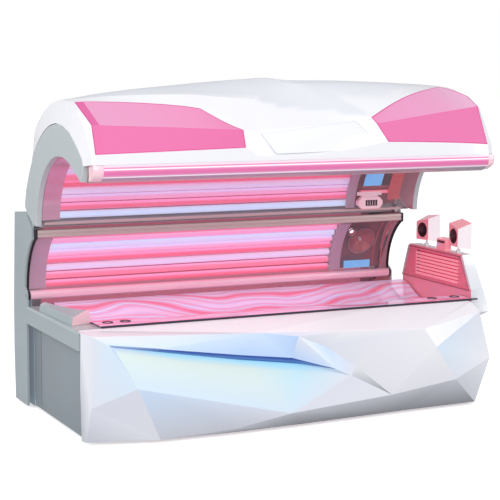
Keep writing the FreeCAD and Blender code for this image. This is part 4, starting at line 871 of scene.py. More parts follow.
CANOPY_TRACK = Track(polar(ARCH_CENTRE, ARCH_R, ARCH_START), 90 + ARCH_START, ((ARCH_R, 110.7), (156.0, 0.0)))
SIDE_CENTRE = (556.0, 640.0)
SIDE_R = 342.0
SIDE_TRACK = Track(polar(SIDE_CENTRE, SIDE_R, -1.8), 88.2, ((SIDE_R, 56.0),))
BENCH_TRACK = Track(
    (117.0, 556.0), 0.0, ((120.0, 0.0), (150.0, -32.0), (420.0, 64.0), (150.0, -22.0), (46.0, 0.0))
)


# ------------------------------------------------------------------ canopy


@dataclass
class CanopySkin:
    """White outer skin with its two tinted lenses.

    Attributes:
        steps: Pieces between two stations and between two rows.
        wall: Thickness of the skin.
        lens_corner: The cell that the foot lens cuts across its corner.
        end_rim: (y, z) of the ten rows at either end.
        stations: X, Y and Z of the ten rows at each station, from foot to head.
    """

    steps: int = 4
    wall: float = 5.0
    lens_corner: tuple[int, int] = (5, 2)
    end_rim: tuple[Point2, ...] = (
        (-47, 1351), (-31, 1382), (36, 1432), (150, 1499), (245, 1525), (363, 1533), (490, 1508),
        (620, 1445), (700, 1380), (754, 1328),
    )
    stations: tuple[tuple[tuple[float, ...], ...], ...] = (
        ((14, 14, 16, 14, 14, 14, 14, 14, 14, 14), (-118, -117, -18, 150, 225, 335, 500, 645, 738, 767),
         (1361, 1409, 1535, 1632, 1647, 1648, 1614, 1548, 1470, 1330)),
        ((31, 31, 50, 38, 45, 60, 60, 60, 60, 60), (-132, -127, -20, 185, 250, 345, 505, 655, 745, 772),
         (1361, 1409, 1542, 1643, 1653, 1652, 1617, 1552, 1475, 1330)),
        ((215,) * 10, (-132, -128, -30, 160, 235, 355, 520, 670, 750, 774),
         (1361, 1413, 1535, 1643, 1666, 1676, 1640, 1565, 1482, 1330)),
        ((450,) * 10, (-132, -129, -44, 110, 190, 370, 540, 682, 754, 775),
         (1361, 1418, 1526, 1632, 1674, 1701, 1665, 1580, 1488, 1330)),
        ((640,) * 10, (-132, -130, -56, 60, 165, 390, 560, 690, 757, 776),
         (1361, 1422, 1517, 1610, 1673, 1715, 1680, 1590, 1494, 1330)),
        ((800, 800, 815, 830, 840, 850, 850, 850, 850, 850), (-132, -130, -66, 10, 150, 400, 570, 697, 759, 777),
         (1361, 1426, 1509, 1557, 1658, 1731, 1692, 1598, 1499, 1330)),
        ((860, 860, 893, 930, 980, 1040, 1040, 1040, 1040, 1040),
         (-132, -130, -62, 35, 160, 400, 578, 701, 760, 777),
         (1361, 1386, 1494, 1558, 1648, 1742, 1702, 1604, 1502, 1330)),
        ((1180, 1180, 1190, 1180, 1160, 1180, 1180, 1180, 1180, 1180),
         (-132, -131, -61, 45, 165, 400, 582, 703, 760, 777),
         (1361, 1384, 1521, 1571, 1630, 1747, 1706, 1607, 1503, 1330)),
        ((1600, 1593, 1565, 1541, 1418, 1300, 1300, 1300, 1300, 1300),
         (-132, -130, -58, -42, 130, 350, 575, 701, 760, 777),
         (1361, 1438, 1527, 1559, 1650, 1735, 1702, 1605, 1502, 1330)),
        ((1715, 1715, 1715, 1712, 1690, 1600, 1600, 1600, 1600, 1600),
         (-132, -130, -42, 50, 120, 370, 565, 698, 759, 776),
         (1361, 1435, 1546, 1621, 1650, 1733, 1697, 1600, 1500, 1330)),
        ((1870, 1870, 1870, 1869, 1868, 1860, 1860, 1860, 1860, 1860),
         (-132, -130, -20, 120, 220, 390, 555, 692, 757, 775),
         (1361, 1430, 1564, 1667, 1694, 1724, 1688, 1592, 1496, 1330)),
        ((2040, 2040, 2050, 2029, 2033, 2040, 2040, 2040, 2040, 2040),
         (-132, -129, 4, 190, 295, 400, 545, 686, 755, 774),
         (1361, 1423, 1585, 1694, 1708, 1714, 1678, 1582, 1491, 1330)),
        ((2150, 2150, 2160, 2145, 2150, 2150, 2150, 2150, 2150, 2150),
         (-130, -125, 18, 235, 325, 405, 535, 680, 752, 773),
         (1361, 1416, 1597, 1698, 1705, 1705, 1668, 1574, 1487, 1330)),
        ((2205, 2203, 2230, 2222, 2215, 2215, 2215, 2215, 2215, 2215),
         (-122, -112, 30, 118, 250, 360, 520, 668, 748, 771),
         (1361, 1412, 1606, 1655, 1688, 1694, 1655, 1562, 1480, 1330)),
        ((2252, 2254, 2261, 2261, 2261, 2261, 2261, 2261, 2261, 2261),
         (-84, -72, 58, 150, 240, 345, 505, 648, 738, 767),
         (1361, 1412, 1594, 1636, 1655, 1660, 1622, 1548, 1470, 1330)),
    )

    def grid(self) -> list[list[Vector]]:
        """Returns the dense grid of skin points, column by column."""
        foot, head = ([(x, *point) for point in self.end_rim] for x in (0.0, 2275.0))
        coarse = [foot, *(list(zip(*station)) for station in self.stations), head]
        sharp, soft = {1, 2, 6, 7, 9, 14, 15}, {1, 15}  # stations where a row may kink
        lines = []
        for r, row in enumerate(zip(*coarse)):
            corners = sharp if r < 3 else ({1, 6, 9, 15} if r == 3 else soft | ({9} if r == 4 else set()))
            lines.append(crown([Vector(point) for point in row], corners, self.steps))
        return [crown(column, (1, 2, 3, 4), self.steps) for column in zip(*lines)]

    def in_lens(self, column: int, row: int) -> bool:
        """Whether a coarse cell belongs to a lens."""
        foot = (row == 1 and 2 <= column < 6) or (row == 2 and 2 <= column < 5)
        head = row in (1, 2) and 9 <= column < 14
        return foot or head

    def painted_shade_of(self, column: int, row: int) -> Tint:
        """Painted shade of a fine grid corner: the crown is painted a shade darker than the bands round the lenses."""
        n = self.steps
        sunk = (column - 7 * n) / (2 * n) if 7 * n <= column <= 9 * n else 0.0
        if column <= 2 * n or column >= 15 * n or row <= (4 - sunk) * n:
            return Tint.WHITE
        return Tint.CLOUD if column <= 9 * n else Tint.PEARL_GREY

    def make(self) -> None:
        """Builds the skin and the lenses from one grid, so that their rims meet."""
        dense = self.grid()
        n = self.steps
        shell, lenses = Shaper(), {"foot": Shaper(), "head": Shaper()}
        for c in range(len(dense) - 1):
            for r in range(len(dense[0]) - 1):
                cell = (c // n, r // n)
                ring = [dense[c][r], dense[c + 1][r], dense[c + 1][r + 1], dense[c][r + 1]]
                i, j = c % n, r % n
                if cell == self.lens_corner:
                    if i + j < n - 1:
                        lenses["foot"].add(ring, 0, [1.0] * 4)
                    elif i + j > n - 1:
                        shell.add(ring)
                    else:
                        lenses["foot"].add([ring[0], ring[1], ring[3]], 0, [1.0] * 3)
                        shell.add([ring[1], ring[2], ring[3]])
                elif self.in_lens(*cell):
                    # 0 for the end that turns inwards, a painted shade; 1 where it faces the sky, painted light; and
                    # 0.7 in front.
                    kind = 0.0 if cell[0] == 2 and i == 0 else (0.7 if cell[1] == 1 else 1.0)
                    lenses["foot" if cell[0] < 7 else "head"].add(ring, 0, [kind] * 4)
                else:
                    shades = [self.painted_shade_of(c + dc, r + dr) for dc, dr in ((0, 0), (1, 0), (1, 1), (0, 1))]
                    shell.add(ring, 0, None, shades)
        make_piece("canopy_skin", shell.mesh("canopy_skin", recalc=False), Body.CANOPY, [WHITE_FRONT],
                   ["canopy_shell"], Dressing(2.5, 11, 11, self.wall))
        for end, shape in lenses.items():
            mesh = shape.mesh("lens", recalc=False)
            self.tint(mesh)
            make_piece("canopy_lens_" + end, mesh, Body.CANOPY, [PINK_LENS],
                       ["canopy_lenses"], Dressing(1.2, 14, 12, self.wall))

    def tint(self, mesh: Mesh) -> None:
        """Gives a lens its tones: deep at the rim, and painted light on the part that faces the sky, fading along the
        lens.
        """
        work = bmesh.new()
        work.from_mesh(mesh)
        bmesh.ops.inset_region(work, faces=work.faces, thickness=0.006, depth=0.0, use_even_offset=True,
                               use_boundary=True)
        layer = work.loops.layers.float[TONE_LAYER]
        near = {v for e in work.edges if e.is_boundary for v in e.verts}
        least, most = (f(v.co.x for v in work.verts) for f in (min, max))
        foot = least < 0
        rim_tone, end_tone, front_tone = 0.12, 0.3, 0.33 if foot else 0.42
        sky_lift, sky_fade = 0.5, 0.26
        for face in work.faces:
            rim = sum(loop.vert in near for loop in face.loops) >= 2
            for loop in face.loops:
                reach = (loop.vert.co.x - least) / (most - least)
                upward = 1.0 if loop[layer] > 0.9 else 0.0
                pale = front_tone + upward * (sky_lift - sky_fade * (reach if foot else 1 - reach))
                loop[layer] = rim_tone if rim else (end_tone if loop[layer] < 0.5 else pale)
        work.to_mesh(mesh)
        work.free()


@dataclass
class CanopyTrim:
    """Light strip, end blocks, end panels, rails and the bare name plate.

    Attributes:
        strip_outline: (y, z) of the strip's section, with the tint at each corner; heather along its underside is
            painted shade.
        strip_x: Where the strip starts and ends.
    """

    strip_outline: tuple[tuple[float, float, str], ...] = (
        (-61, 1360.4, "pearl"), (-127, 1360.6, "pearl"), (-130, 1351, "pearl"), (-130.5, 1346, "rose"),
        (-131, 1343, "pink"), (-131.2, 1340, "line"), (-131.2, 1337, "line"), (-131, 1334, "pink"),
        (-130, 1326, "rose"), (-127, 1314, "rose"), (-121, 1305, "pink"), (-118, 1302, "line"),
        (-114, 1299, "line"), (-110, 1296, "heather"), (-98, 1288, "heather"), (-80, 1281, "heather"),
        (-61, 1281, "heather"),
    )
    strip_x: Point2 = (72.0, 2200.0)

    def make_strip(self) -> None:
        """Rose diffuser with the tints of the tubes behind it, and its two end blocks."""
        shape = Shaper()
        x0, x1 = self.strip_x
        outline = [(y, z) for y, z, _ in self.strip_outline]
        tints = [Tint[name.upper()] for _, _, name in self.strip_outline]
        count = len(outline)
        for k in range(count):
            n = (k + 1) % count
            a, b = outline[k], outline[n]
            shape.add([(x0, *a), (x1, *a), (x1, *b), (x0, *b)], 0, None, [tints[k], tints[k], tints[n], tints[n]])
        for x in self.strip_x:
            shape.add([(x, y, z) for y, z in outline], 0, None, [Tint.PEARL] * count)
        make_piece("light_strip_lens", shape, Body.CANOPY, [ROSE_STRIP],
                   ["light_strip"], Dressing(0.0, 40, 50))
        ends = Shaper()
        mid = (-90.0, 1320.0)

        def shrunk(scale: float) -> list[Point2]:
            """The strip's outline pulled in towards its middle."""
            return [(mid[0] + (y - mid[0]) * scale, mid[1] + (z - mid[1]) * scale) for y, z in outline]

        ends.loft([[(x, y, z) for y, z in shrunk(s)] for x, s in ((21, 0.96), (24, 1.0), (71.6, 1.0))])
        ends.loft([[(x, y, z) for y, z in shrunk(s)]
                   for x, s in ((2200.4, 1.0), (2216, 0.99), (2230, 0.93), (2239, 0.8), (2243, 0.6))])
        make_piece("light_strip_ends", ends, Body.CANOPY, [BLUSH_WHITE],
                   (), Dressing(1.5, 40, 50))

    def make_end_panels(self) -> None:
        """Grey arch panels with a rounded inner lip."""
        skin = CanopySkin()
        slim, shift, drop = 0.99, 3.6, 3.0
        outer = crown([Vector((0, y * slim + shift, z - drop)) for y, z in skin.end_rim], (1,), 4)
        outline = [(-18.0, 1274.0), *((p.y, p.z) for p in outer), (803, 1257), (857, 1165), (884, 1078),
                   (850, 1047), (741, 993), (690, 990)]
        arch = CANOPY_TRACK.line(4.0, 6.0, CANOPY_TRACK.length - 2, 14.0)
        shape = Shaper()
        for x0, x1 in ((1.0, 31.0), (2244.0, 2274.0)):
            shape.along_x(outline + arch, x0, x1)
        mesh = shape.mesh("canopy_end_arches")
        for face in mesh.polygons:
            # The head end's inner face looks back at the tubes and gets their painted light.
            face.material_index = int(face.center.x > 0.9 and face.normal.x < -0.5)
        make_piece("canopy_end_arches", mesh, Body.CANOPY, [GREY_END, ARCH_LIT],
                   ["canopy_end_panels"], Dressing(2.5, 35, 30))

    def make_name_plate(self) -> None:
        """Bare raised plate with a fine seam, on the flat facet between the lenses."""
        corners = [Vector(p) for p in ((905, -67, 1488), (1440, -60.5, 1541), (1582, -126, 1401), (962, -130, 1391))]
        normal = (corners[1] - corners[0]).cross(corners[3] - corners[0]).normalized()
        if normal.y > 0:
            normal = -normal
        centre = sum(corners, Vector()) / 4
        rings = []
        for scale, lift in ((1.0, 0.5), (1.0, 1.2), (0.994, 1.8), (0.99, 1.2), (0.985, 2.0)):
            rings.append([tuple(centre + (c - centre) * scale + normal * lift) for c in corners])
        shape = Shaper()
        for (first, second), slot in zip(zip(rings, rings[1:]), (0, 0, 1, 1)):
            shape.strip(first, second, slot)
        shape.add(rings[-1])
        shape.add(rings[0][::-1])
        make_piece("bare_name_plate", shape, Body.CANOPY, [WHITE_SHELL, SEAM_GREY], (),
                   Dressing(0.0, 30, 20))

    def make_rails(self) -> None:
        """Extruded rails along the front and rear edges of the canopy sheet."""
        shape = Shaper()
        shape.along_x([(684, 1008), (686, 998), (692, 994.5), (728, 993.5), (733, 997), (736, 1004), (716, 1009),
                       (692, 1011)], 46, 2165)
        tip = [CANOPY_TRACK.at(CANOPY_TRACK.length, offset) for offset in (-4, 10)]
        shape.along_x(tip + [(-40, 1345), (-60, 1345), (-60, 1283)], 32, 2243)
        make_piece("canopy_edge_rails", shape, Body.CANOPY, [HANDLE_RAIL],
                   ["canopy_rails"], Dressing(1.2, 25, 20))


@dataclass(frozen=True)
class LampBank:
    """A bank of lit tubes along one curved track.

    Attributes:
        name: Stem of the pieces' names.
        track: The curve the tubes follow.
        offset: How far the tubes lie behind it.
        runs: Where each tube stands along it.
        red: Which of them are in the red node.
        span: Where the tubes start and end along X.
        tones: The shade of each tube.
    """

    name: str
    track: Track
    offset: float
    runs: tuple[float, ...]
    red: tuple[int, ...]
    span: Point2
    tones: tuple[float, ...]

    def seeds(self, red: bool) -> tuple[list[Point3], list[float]]:
        """Returns the tubes' middles and shades for one colour."""
        places, tones = [], []
        for k, run in enumerate(self.runs):
            if (k in self.red) != red:
                continue
            y, z = self.track.at(run, self.offset)
            places.append(((self.span[0] + self.span[1]) / 2, y, z))
            tones.append(self.tones[k % len(self.tones)])
        return places, tones


@dataclass
class Lamps:
    """All lit tubes: one mesh for each body and colour.

    Attributes:
        radius: Radius of a tube.
        cap: Length of a tube's end cap that shows.
        side: The bank behind the side sheet.
        bench: The bank under the bench sheet.
        canopy: The bank in the canopy.
    """

    radius: float = 19.0
    cap: float = 8.0
    side: LampBank = LampBank(
        "side", SIDE_TRACK, 36.0, tuple(24 + 40.5 * k for k in range(8)), (1, 2, 4, 7), (70.0, 1828.0),
        (0.0, 0.4, 1.0, 0.0, 0.78, 0.74, 0.32, 0.5))
    bench: LampBank = LampBank(
        "bench", BENCH_TRACK, 42.0, (150.0, *(212.0 + 45 * k for k in range(11)), 712.0), (0, 2, 4, 6, 8, 10, 12),
        (170.0, 2170.0), (0.3, 0.6, 0.1, 0.9, 0.5))
    canopy: LampBank = LampBank(
        "canopy", CANOPY_TRACK, 38.0, tuple(26 + 40.5 * k for k in range(21)),
        (2, 3, 5, 7, 8, 10, 12, 13, 15, 17, 18), (70.0, 1828.0), (0.88, 0.04, 0.74, 1.0, 0.0, 0.4, 0.5))

    def shade(self, mesh: Mesh) -> Mesh:
        """Paints a highlight along each tube's upper front and painted shade underneath."""
        aim, paler, deeper = Vector((0.0, -0.55, 0.84)), 0.3, 0.12
        for vertex, tone in zip(mesh.vertices, mesh.attributes[TONE_LAYER].data):
            side = Vector((0.0, vertex.normal.y, vertex.normal.z))
            lift = side.normalized().dot(aim) if side.length > 0.1 else 0.0
            tone.value = min(max(tone.value + paler * max(lift, 0.0) ** 4 - deeper * max(-lift, 0.0), 0.0), 1.0)
        return mesh

    def make(self) -> None:
        """Grows the tubes and joins the base's two banks into one mesh for each colour."""
        tree = TubeTree()
        for body, banks in ((Body.BASE, (self.side, self.bench)), (Body.CANOPY, (self.canopy,))):
            for red in (True, False):
                meshes = []
                for bank in banks:
                    places, tones = bank.seeds(red)
                    meshes.append(self.shade(grown(bank.name, tree, places, tones, {
                        "Length": (bank.span[1] - bank.span[0]) * MM, "Radius": self.radius * MM,
                        "Cap Length": self.cap * MM, "Glass": (RED_TUBE if red else BLUE_TUBE).build(),
                        "Cap": TUBE_CAP.build()})))
                colour = "red" if red else "blue"
                mesh = joined(f"{body.value}_tubes_{colour}", meshes)
                for material in meshes[0].materials:
                    mesh.materials.append(material)
                make_piece(mesh.name, mesh, body, [], [f"{body.value}_lamps_{colour}"])


# ------------------------------------------------------------------ base


FRONT_POINTS: dict[str, Point3] = {
    name: tuple(map(int, place)) for name, *place in map(str.split, """
        foot_top 10 43 546, foot_mid 6 43 280, foot_low 12 43 16, deck_foot 20 118 546, deck_mid 1690 118 546,
        deck_head 2262 118 546, crease_foot 62 8 530, crease_a 933 -22 490, crease_b 1381 -36 468,
        crease_head 1878 -50 446, corner_mid 43 -12 185, corner_low 22 8 16, v1 252 -95 278, low_a 370 -88 16,
        low_b 789 -97 16, low_c 1131 -83 16, low_d 1746 -37 16, tip 2226 -17 16, dark_a 788 -101 37,
        v2 1070 -112 85, v3 1676 -70 116, v4 2086 -45 158, slot_a 130 -28 488, slot_b 378 -58 457,
        slot_c 804 -72 396, slot_d 1088 -72 359, slot_e 1343 -66 280, slot_f 1434 -66 237, pit_a 150 -20 478,
        pit_b 392 -32 438, pit_c 810 -38 367, pit_d 1139 -40 320, curve_a 1135 -52 462, curve_b 1299 -39 396,
        curve_c 1462 -52 286, glow 1954 -55 344, head_edge 2283 40 498, head_max 2350 30 242,
        head_top 2267 100 540, head_back_top 2330 118 498, head_back_mid 2352 118 242, head_back_low 2300 118 16
    """.split(","))
}


def toward(start: str, end: str, share: float) -> Point3:
    """Point on the edge between two named corners of the front."""
    a, b = Vector(FRONT_POINTS[start]), Vector(FRONT_POINTS[end])
    return tuple(a.lerp(b, share))


# Where the slot's light has faded from cyan on the recess.
WASH = 0.16
FRONT_POINTS |= {
    "wash_a": toward("pit_a", "v1", WASH), "wash_b": toward("pit_b", "v1", WASH),
    "wash_c": toward("pit_b", "v2", WASH), "wash_d": toward("pit_c", "v2", WASH),
    "wash_e": toward("pit_d", "v2", WASH),
}


@dataclass
class FrontMoulding:
    """Faceted front of the base with the lit recess under its slot.

    Attributes:
        facets: Rings of corner names, a colon and the tint on each corner, which paints light and shade.
        slot: Rings of the light guide, navy along its upper lip and cobalt below.
    """

    facets: str = """
        foot_top foot_mid corner_mid crease_foot: pebble shade pebble mist
        foot_mid foot_low corner_low corner_mid: shade shade shade pebble
        foot_top crease_foot deck_foot: blush blush petal
        deck_foot crease_foot crease_a deck_mid: petal blush blush blush
        crease_a crease_b deck_mid: blush blush blush
        crease_b crease_head deck_mid: blush petal blush
        deck_mid crease_head deck_head: petal petal petal
        deck_head crease_head head_top: petal petal blush
        crease_head head_edge head_top: petal petal petal
        crease_foot corner_mid slot_a: mist mist frost
        corner_mid v1 slot_a: mist frost frost
        corner_mid low_a v1: mist pebble mist
        corner_mid corner_low low_a: mist shade pebble
        crease_foot slot_a slot_b crease_a: mist ice ice ice
        slot_b slot_c crease_a: ice sky ice
        crease_a slot_c slot_d curve_a: ice sky sky sky
        crease_a curve_a crease_b: ice mist white
        curve_a slot_d slot_e curve_b: mist sky ice sky
        curve_b slot_e slot_f curve_c: sky ice mist mist
        curve_c slot_f v3: pebble shade slate
        curve_a curve_b crease_b: mist mist white
        curve_b curve_c crease_head crease_b: mist pebble white white
        curve_c v3 crease_head: pebble pebble white
        slot_a v1 pit_a: ice mist ice
        pit_a wash_a wash_b pit_b: ice mint mint cyan
        wash_a v1 wash_b: mint frost mint
        pit_b wash_b wash_c: cyan mint mint
        wash_b v1 v2 wash_c: mint frost frost mint
        pit_b wash_c wash_d pit_c: cyan mint mint cyan
        wash_c v2 wash_d: mint frost mint
        pit_c wash_d wash_e pit_d: cyan mint mint cyan
        wash_d v2 wash_e: mint frost mint
        pit_d wash_e v2 slot_f slot_e: cyan mint frost mist ice
        slot_f v2 v3: mist mist pebble
        v1 low_a dark_a v2: ice shade shade mist
        low_a low_b dark_a: shade slate shade
        dark_a low_b low_c v2: shade slate slate shade
        v2 low_c low_d v3: shade slate slate shade
        v3 low_d v4: shade slate shade
        low_d tip v4: slate slate shade
        v3 v4 glow crease_head: pebble pebble white white
        glow head_edge crease_head: white mist white
        glow v4 head_max head_edge: frost mist white mist
        v4 tip head_max: shade shade pebble
        head_edge head_max head_back_mid head_back_top: white white shade white
        head_top head_edge head_back_top: white white white
        head_max tip head_back_low head_back_mid: white shade shade shade
    """
    slot: str = """
        slot_a pit_a pit_b slot_b: sky cobalt cobalt navy
        slot_b pit_b pit_c slot_c: navy cobalt cobalt navy
        slot_c pit_c pit_d slot_d: navy cobalt cobalt navy
        slot_d pit_d slot_e: navy cobalt cobalt
    """

    def make(self) -> None:
        """Builds the moulding and the light guide in its slot."""
        white, blue = Shaper(), Shaper()
        for shape, table in ((white, self.facets), (blue, self.slot)):
            for row in table.strip().splitlines():
                names, tints = (part.split() for part in row.split(":"))
                corners = [(FRONT_POINTS[name], Tint[tint.upper()]) for name, tint in zip(names, tints, strict=True)]
                for second, third in zip(corners[1:], corners[2:]):
                    places, paint = zip(corners[0], second, third)
                    shape.add(places, 0, None, paint)
        mesh = white.mesh("front_moulding", recalc=False)
        make_piece("front_moulding", mesh, Body.BASE, [WHITE_FRONT], ["front_panel"],
                   Dressing(1.8, 6, 4, 4.0))
        make_piece("slot_light_guide", blue.mesh("slot_light_guide", recalc=False), Body.BASE, [BLUE_GUIDE],
                   ["front_slot_lens"], Dressing(0.0, 30, 60, 3.0))


@dataclass
class BenchSheet:
    """Thick dished acrylic sheet with dark cut edges and rubber finger grips.

    Attributes:
        x: Where the dished part starts and ends.
        flange_end: Where the flange at the head end stops.
        flange_deep: Depth of that flange from the front edge.
        thick: Thickness of the sheet.
        relief: Height of the swells in its upper face.
        swells: How many swells lie across and along the sheet, and their share of the relief.
        grip_x: Middles of the grips.
        grip_y: How far back the grips lie.
    """

    x: Point2 = (142.0, 2284.0)
    flange_end: float = 2319.0
    flange_deep: float = 26.0
    thick: float = 8.0
    relief: float = 5.0
    swells: tuple[tuple[float, float], ...] = ((2.6, 1.0), (3.1, 0.7))
    grip_x: tuple[float, ...] = (211.0, 304.0, 2087.0, 2229.0)
    grip_y: float = 213.0

    def lift(self, x: float, run: float) -> float:
        """Height of the body relief: long shallow swells that fade out at the sheet's edges."""
        along = (x - self.x[0]) / (self.x[1] - self.x[0])
        across = run / BENCH_TRACK.length
        fade = math.sin(math.pi * min(max(along, 0.0), 1.0)) ** 0.6 * math.sin(math.pi * across) ** 2
        (rows, broad), (columns, narrow) = self.swells
        bend = 1.1 * math.sin(2 * math.pi * along * 1.3 + 0.6)
        return self.relief * fade * (
            broad * math.sin(2 * math.pi * (across * rows + 0.25 * bend) + 0.8)
            + narrow * math.sin(2 * math.pi * (along * columns + 0.4 * math.sin(2 * math.pi * across)))
        )

    def make(self) -> None:
        """Builds the sheet, its edges, the rear bead and the grips."""
        shape = Shaper()
        count = int(BENCH_TRACK.length / 14.0)
        runs = [BENCH_TRACK.length * k / count for k in range(count + 1)]
        top = [BENCH_TRACK.at(run) for run in runs]
        low = [BENCH_TRACK.at(run, self.thick) for run in runs]
        x0, x1 = self.x
        across = 60
        xs = [x0 + (x1 - x0) * k / across for k in range(across + 1)]

        def upper(x: float, k: int) -> Point3:
            """Point of the contoured upper face."""
            return x, top[k][0], top[k][1] + self.lift(x, runs[k])

        for k in range(count):
            for a, b in zip(xs, xs[1:]):
                shape.add([upper(a, k), upper(b, k), upper(b, k + 1), upper(a, k + 1)], 0)
                shape.add([(a, *low[k + 1]), (b, *low[k + 1]), (b, *low[k]), (a, *low[k])], 2)
            for x in self.x:
                shape.add([(x, *top[k]), (x, *top[k + 1]), (x, *low[k + 1]), (x, *low[k])], 1)
        for k in (0, -1):
            for a, b in zip(xs, xs[1:]):
                shape.add([(a, *top[k]), (b, *top[k]), (b, *low[k]), (a, *low[k])], 1)
        y0, z1 = top[0]
        shape.block((x1 + 0.02, self.flange_end), (y0, y0 + self.flange_deep), (z1 - self.thick, z1), 1)
        bead, length = 6, 2054
        shape.turned([(0, 0), (bead, 0), (bead, length), (0, length)], (x0, 868, 553), (1, 0, 0), 1, 16)
        make_piece("bench_sheet_clear", shape, Body.BENCH,
                   [BENCH_FACE, SHEET_EDGE, BENCH_SHEET], ["bench_acrylic"])
        lip, z0 = Shaper(), z1 - self.thick
        lip.along_x([(y0 - 0.4, z0 - 1.5), (y0 + 4, z0 - 1.5), (y0 + 4, z0 - 0.1), (y0 - 0.1, z0 - 0.1),
                     (y0 - 0.1, z1 + 0.2), (y0 + 2.4, z1 + 0.2), (y0 + 2.4, z1 + 1.5), (y0 - 0.4, z1 + 1.5)],
                    x0 + 2, x1 - 2)
        make_piece("bench_sheet_lip", lip, Body.BENCH, [SHEET_EDGE], ())
        grips = Shaper()
        for x in self.grip_x:
            grips.turned([(22, -8), (22, 0), (28, 0), (28, 1.5), (26.5, 2.6), (23, 2.6), (17, 0.6), (13, -3),
                          (0, -4)], (x, self.grip_y, z1), (0, 0, 1), 0, 40)
        make_piece("bench_grips", grips, Body.BENCH, [BLACK_RUBBER],
                   ["bench_sheet_grips"], Dressing(0.0, 30, 50))


@dataclass
class SideBank:
    """Extruded rails of the fold-down side sheet.

    Attributes:
        x: Where the rails start and end.
    """

    x: Point2 = (22.0, 2200.0)

    def make(self) -> None:
        """Builds the two extruded rails."""
        top, low = Shaper(), Shaper()
        top.along_x([(737, 929), (741, 925.5), (750, 923), (764, 923), (768, 927), (770, 944), (763, 964),
                     (757, 966), (744, 966), (738, 962), (737, 949), (740, 948), (740, 943), (737, 942)], *self.x)
        make_piece("side_handle_rail", top, Body.SIDE, [HANDLE_RAIL], ["side_top_rail"],
                   Dressing(1.0, 25, 20))
        low.along_x([(867, 590), (862.5, 602), (865.5, 603.5), (865.8, 607.5), (863, 609), (867, 622), (879, 628),
                     (903, 628), (906, 604), (898, 586), (878, 582)], *self.x)
        make_piece("side_foot_rail", low, Body.SIDE, [FOOT_RAIL], ["side_bottom_rail"],
                   Dressing(1.0, 25, 20))


@dataclass
class Speakers:
    """Two toed-in loudspeakers.

    Attributes:
        places: Body, node, pivot at the cap, toe in degrees and the side that faces inwards.
        corners: Four corners seen from above: back from the pivot, aside, and bottom and top heights.
        lift: Height of the cabinet over its pivot.
        cone_radius: Radius of the driver.
        cone_height: Height of the driver's middle in the cabinet.
        steps: Sides of the driver.
    """

    places: tuple[tuple[Body, str, Point3, float, int], ...] = (
        (Body.SPEAKER_REAR, "speaker_rear", (2340, 684, 790), 6.0, -1),
        (Body.SPEAKER_FRONT, "speaker_front", (2340, 350, 790), -6.0, 1),
    )
    corners: tuple[tuple[float, float, float, float], ...] = (
        (-34, -54, 14, 116), (-34, 54, 17, 140), (50, 60, 2, 162), (50, -58, 0, 148),
    )
    lift: float = 10.0
    cone_radius: float = 42.0
    cone_height: float = 72.0
    steps: int = 48

    def face_ring(self, low: list[Vector], high: list[Vector]) -> tuple[list[Point3], list[Point3]]:
        """The front face's rim and the driver's opening in it, point for point.

        Args:
            low: The face's two lower corners.
            high: Its two upper corners.

        Returns:
            The outer and the inner ring.
        """
        rim = [low[0], low[1], high[1], high[0]]
        x = low[0].x
        angles = [2 * math.pi * k / self.steps for k in range(self.steps)]
        angles += [math.atan2(p.z - self.cone_height, p.y) % (2 * math.pi) for p in rim]
        outer, inner = [], []
        for a in sorted(angles):
            ray = Vector((math.cos(a), math.sin(a)))
            best = math.inf
            for p, q in zip(rim, rim[1:] + rim[:1]):
                start = Vector((p.y, p.z - self.cone_height))
                side = Vector((q.y - p.y, q.z - p.z))
                cross = ray.x * side.y - ray.y * side.x
                if abs(cross) < 1e-9:
                    continue
                reach = (start.x * side.y - start.y * side.x) / cross
                place = (start.x * ray.y - start.y * ray.x) / cross
                if reach > 0 and -1e-6 <= place <= 1 + 1e-6:
                    best = min(best, reach)
            outer.append((x, ray.x * best, self.cone_height + ray.y * best))
            inner.append((x, ray.x * self.cone_radius, self.cone_height + ray.y * self.cone_radius))
        return outer, inner

    def make(self) -> None:
        """Builds both cabinets with their cones."""
        for body, name, place, toe, inward in self.places:
            shape = Shaper()
            low = [Vector((dx, dy * inward, z0)) for dx, dy, z0, _ in self.corners]
            high = [Vector((dx, dy * inward, z1)) for dx, dy, _, z1 in self.corners]
            for k, n in ((1, 2), (2, 3), (3, 0)):
                shape.add([low[k], low[n], high[n], high[k]], 0)
            shape.add(low[::-1], 0)
            shape.add(high, 1)
            outer, inner = self.face_ring(low[:2], high[:2])
            shape.strip(outer, inner, 1)
            r = self.cone_radius
            driver = [(r, 0), (r - 1, -3), (r - 4, -3.6), (r - 7, -2.4), (r - 9, -5), (16, -22), (12, -21), (8, -17),
                      (0, -15)]
            shape.turned(driver, (self.corners[0][0], 0, self.cone_height), (-1, 0, 0),
                         [2, 3, 3, 2, 2, 3, 3, 3], self.steps)
            turn = Matrix.Rotation(math.radians(toe), 4, "Z")
            shape.moved(lambda p: turn @ (p + Vector((0, 0, self.lift))) + Vector(place))
            mesh = shape.mesh(name)
            make_piece(name + "_cabinet", mesh, body, [SPEAKER_WHITE, SPEAKER_BLUSH, CONE, BLACK_ABS],
                       [name], Dressing(2.5, 40, 30, segments=3))


# ------------------------------------------------------------------ lamp bed linings


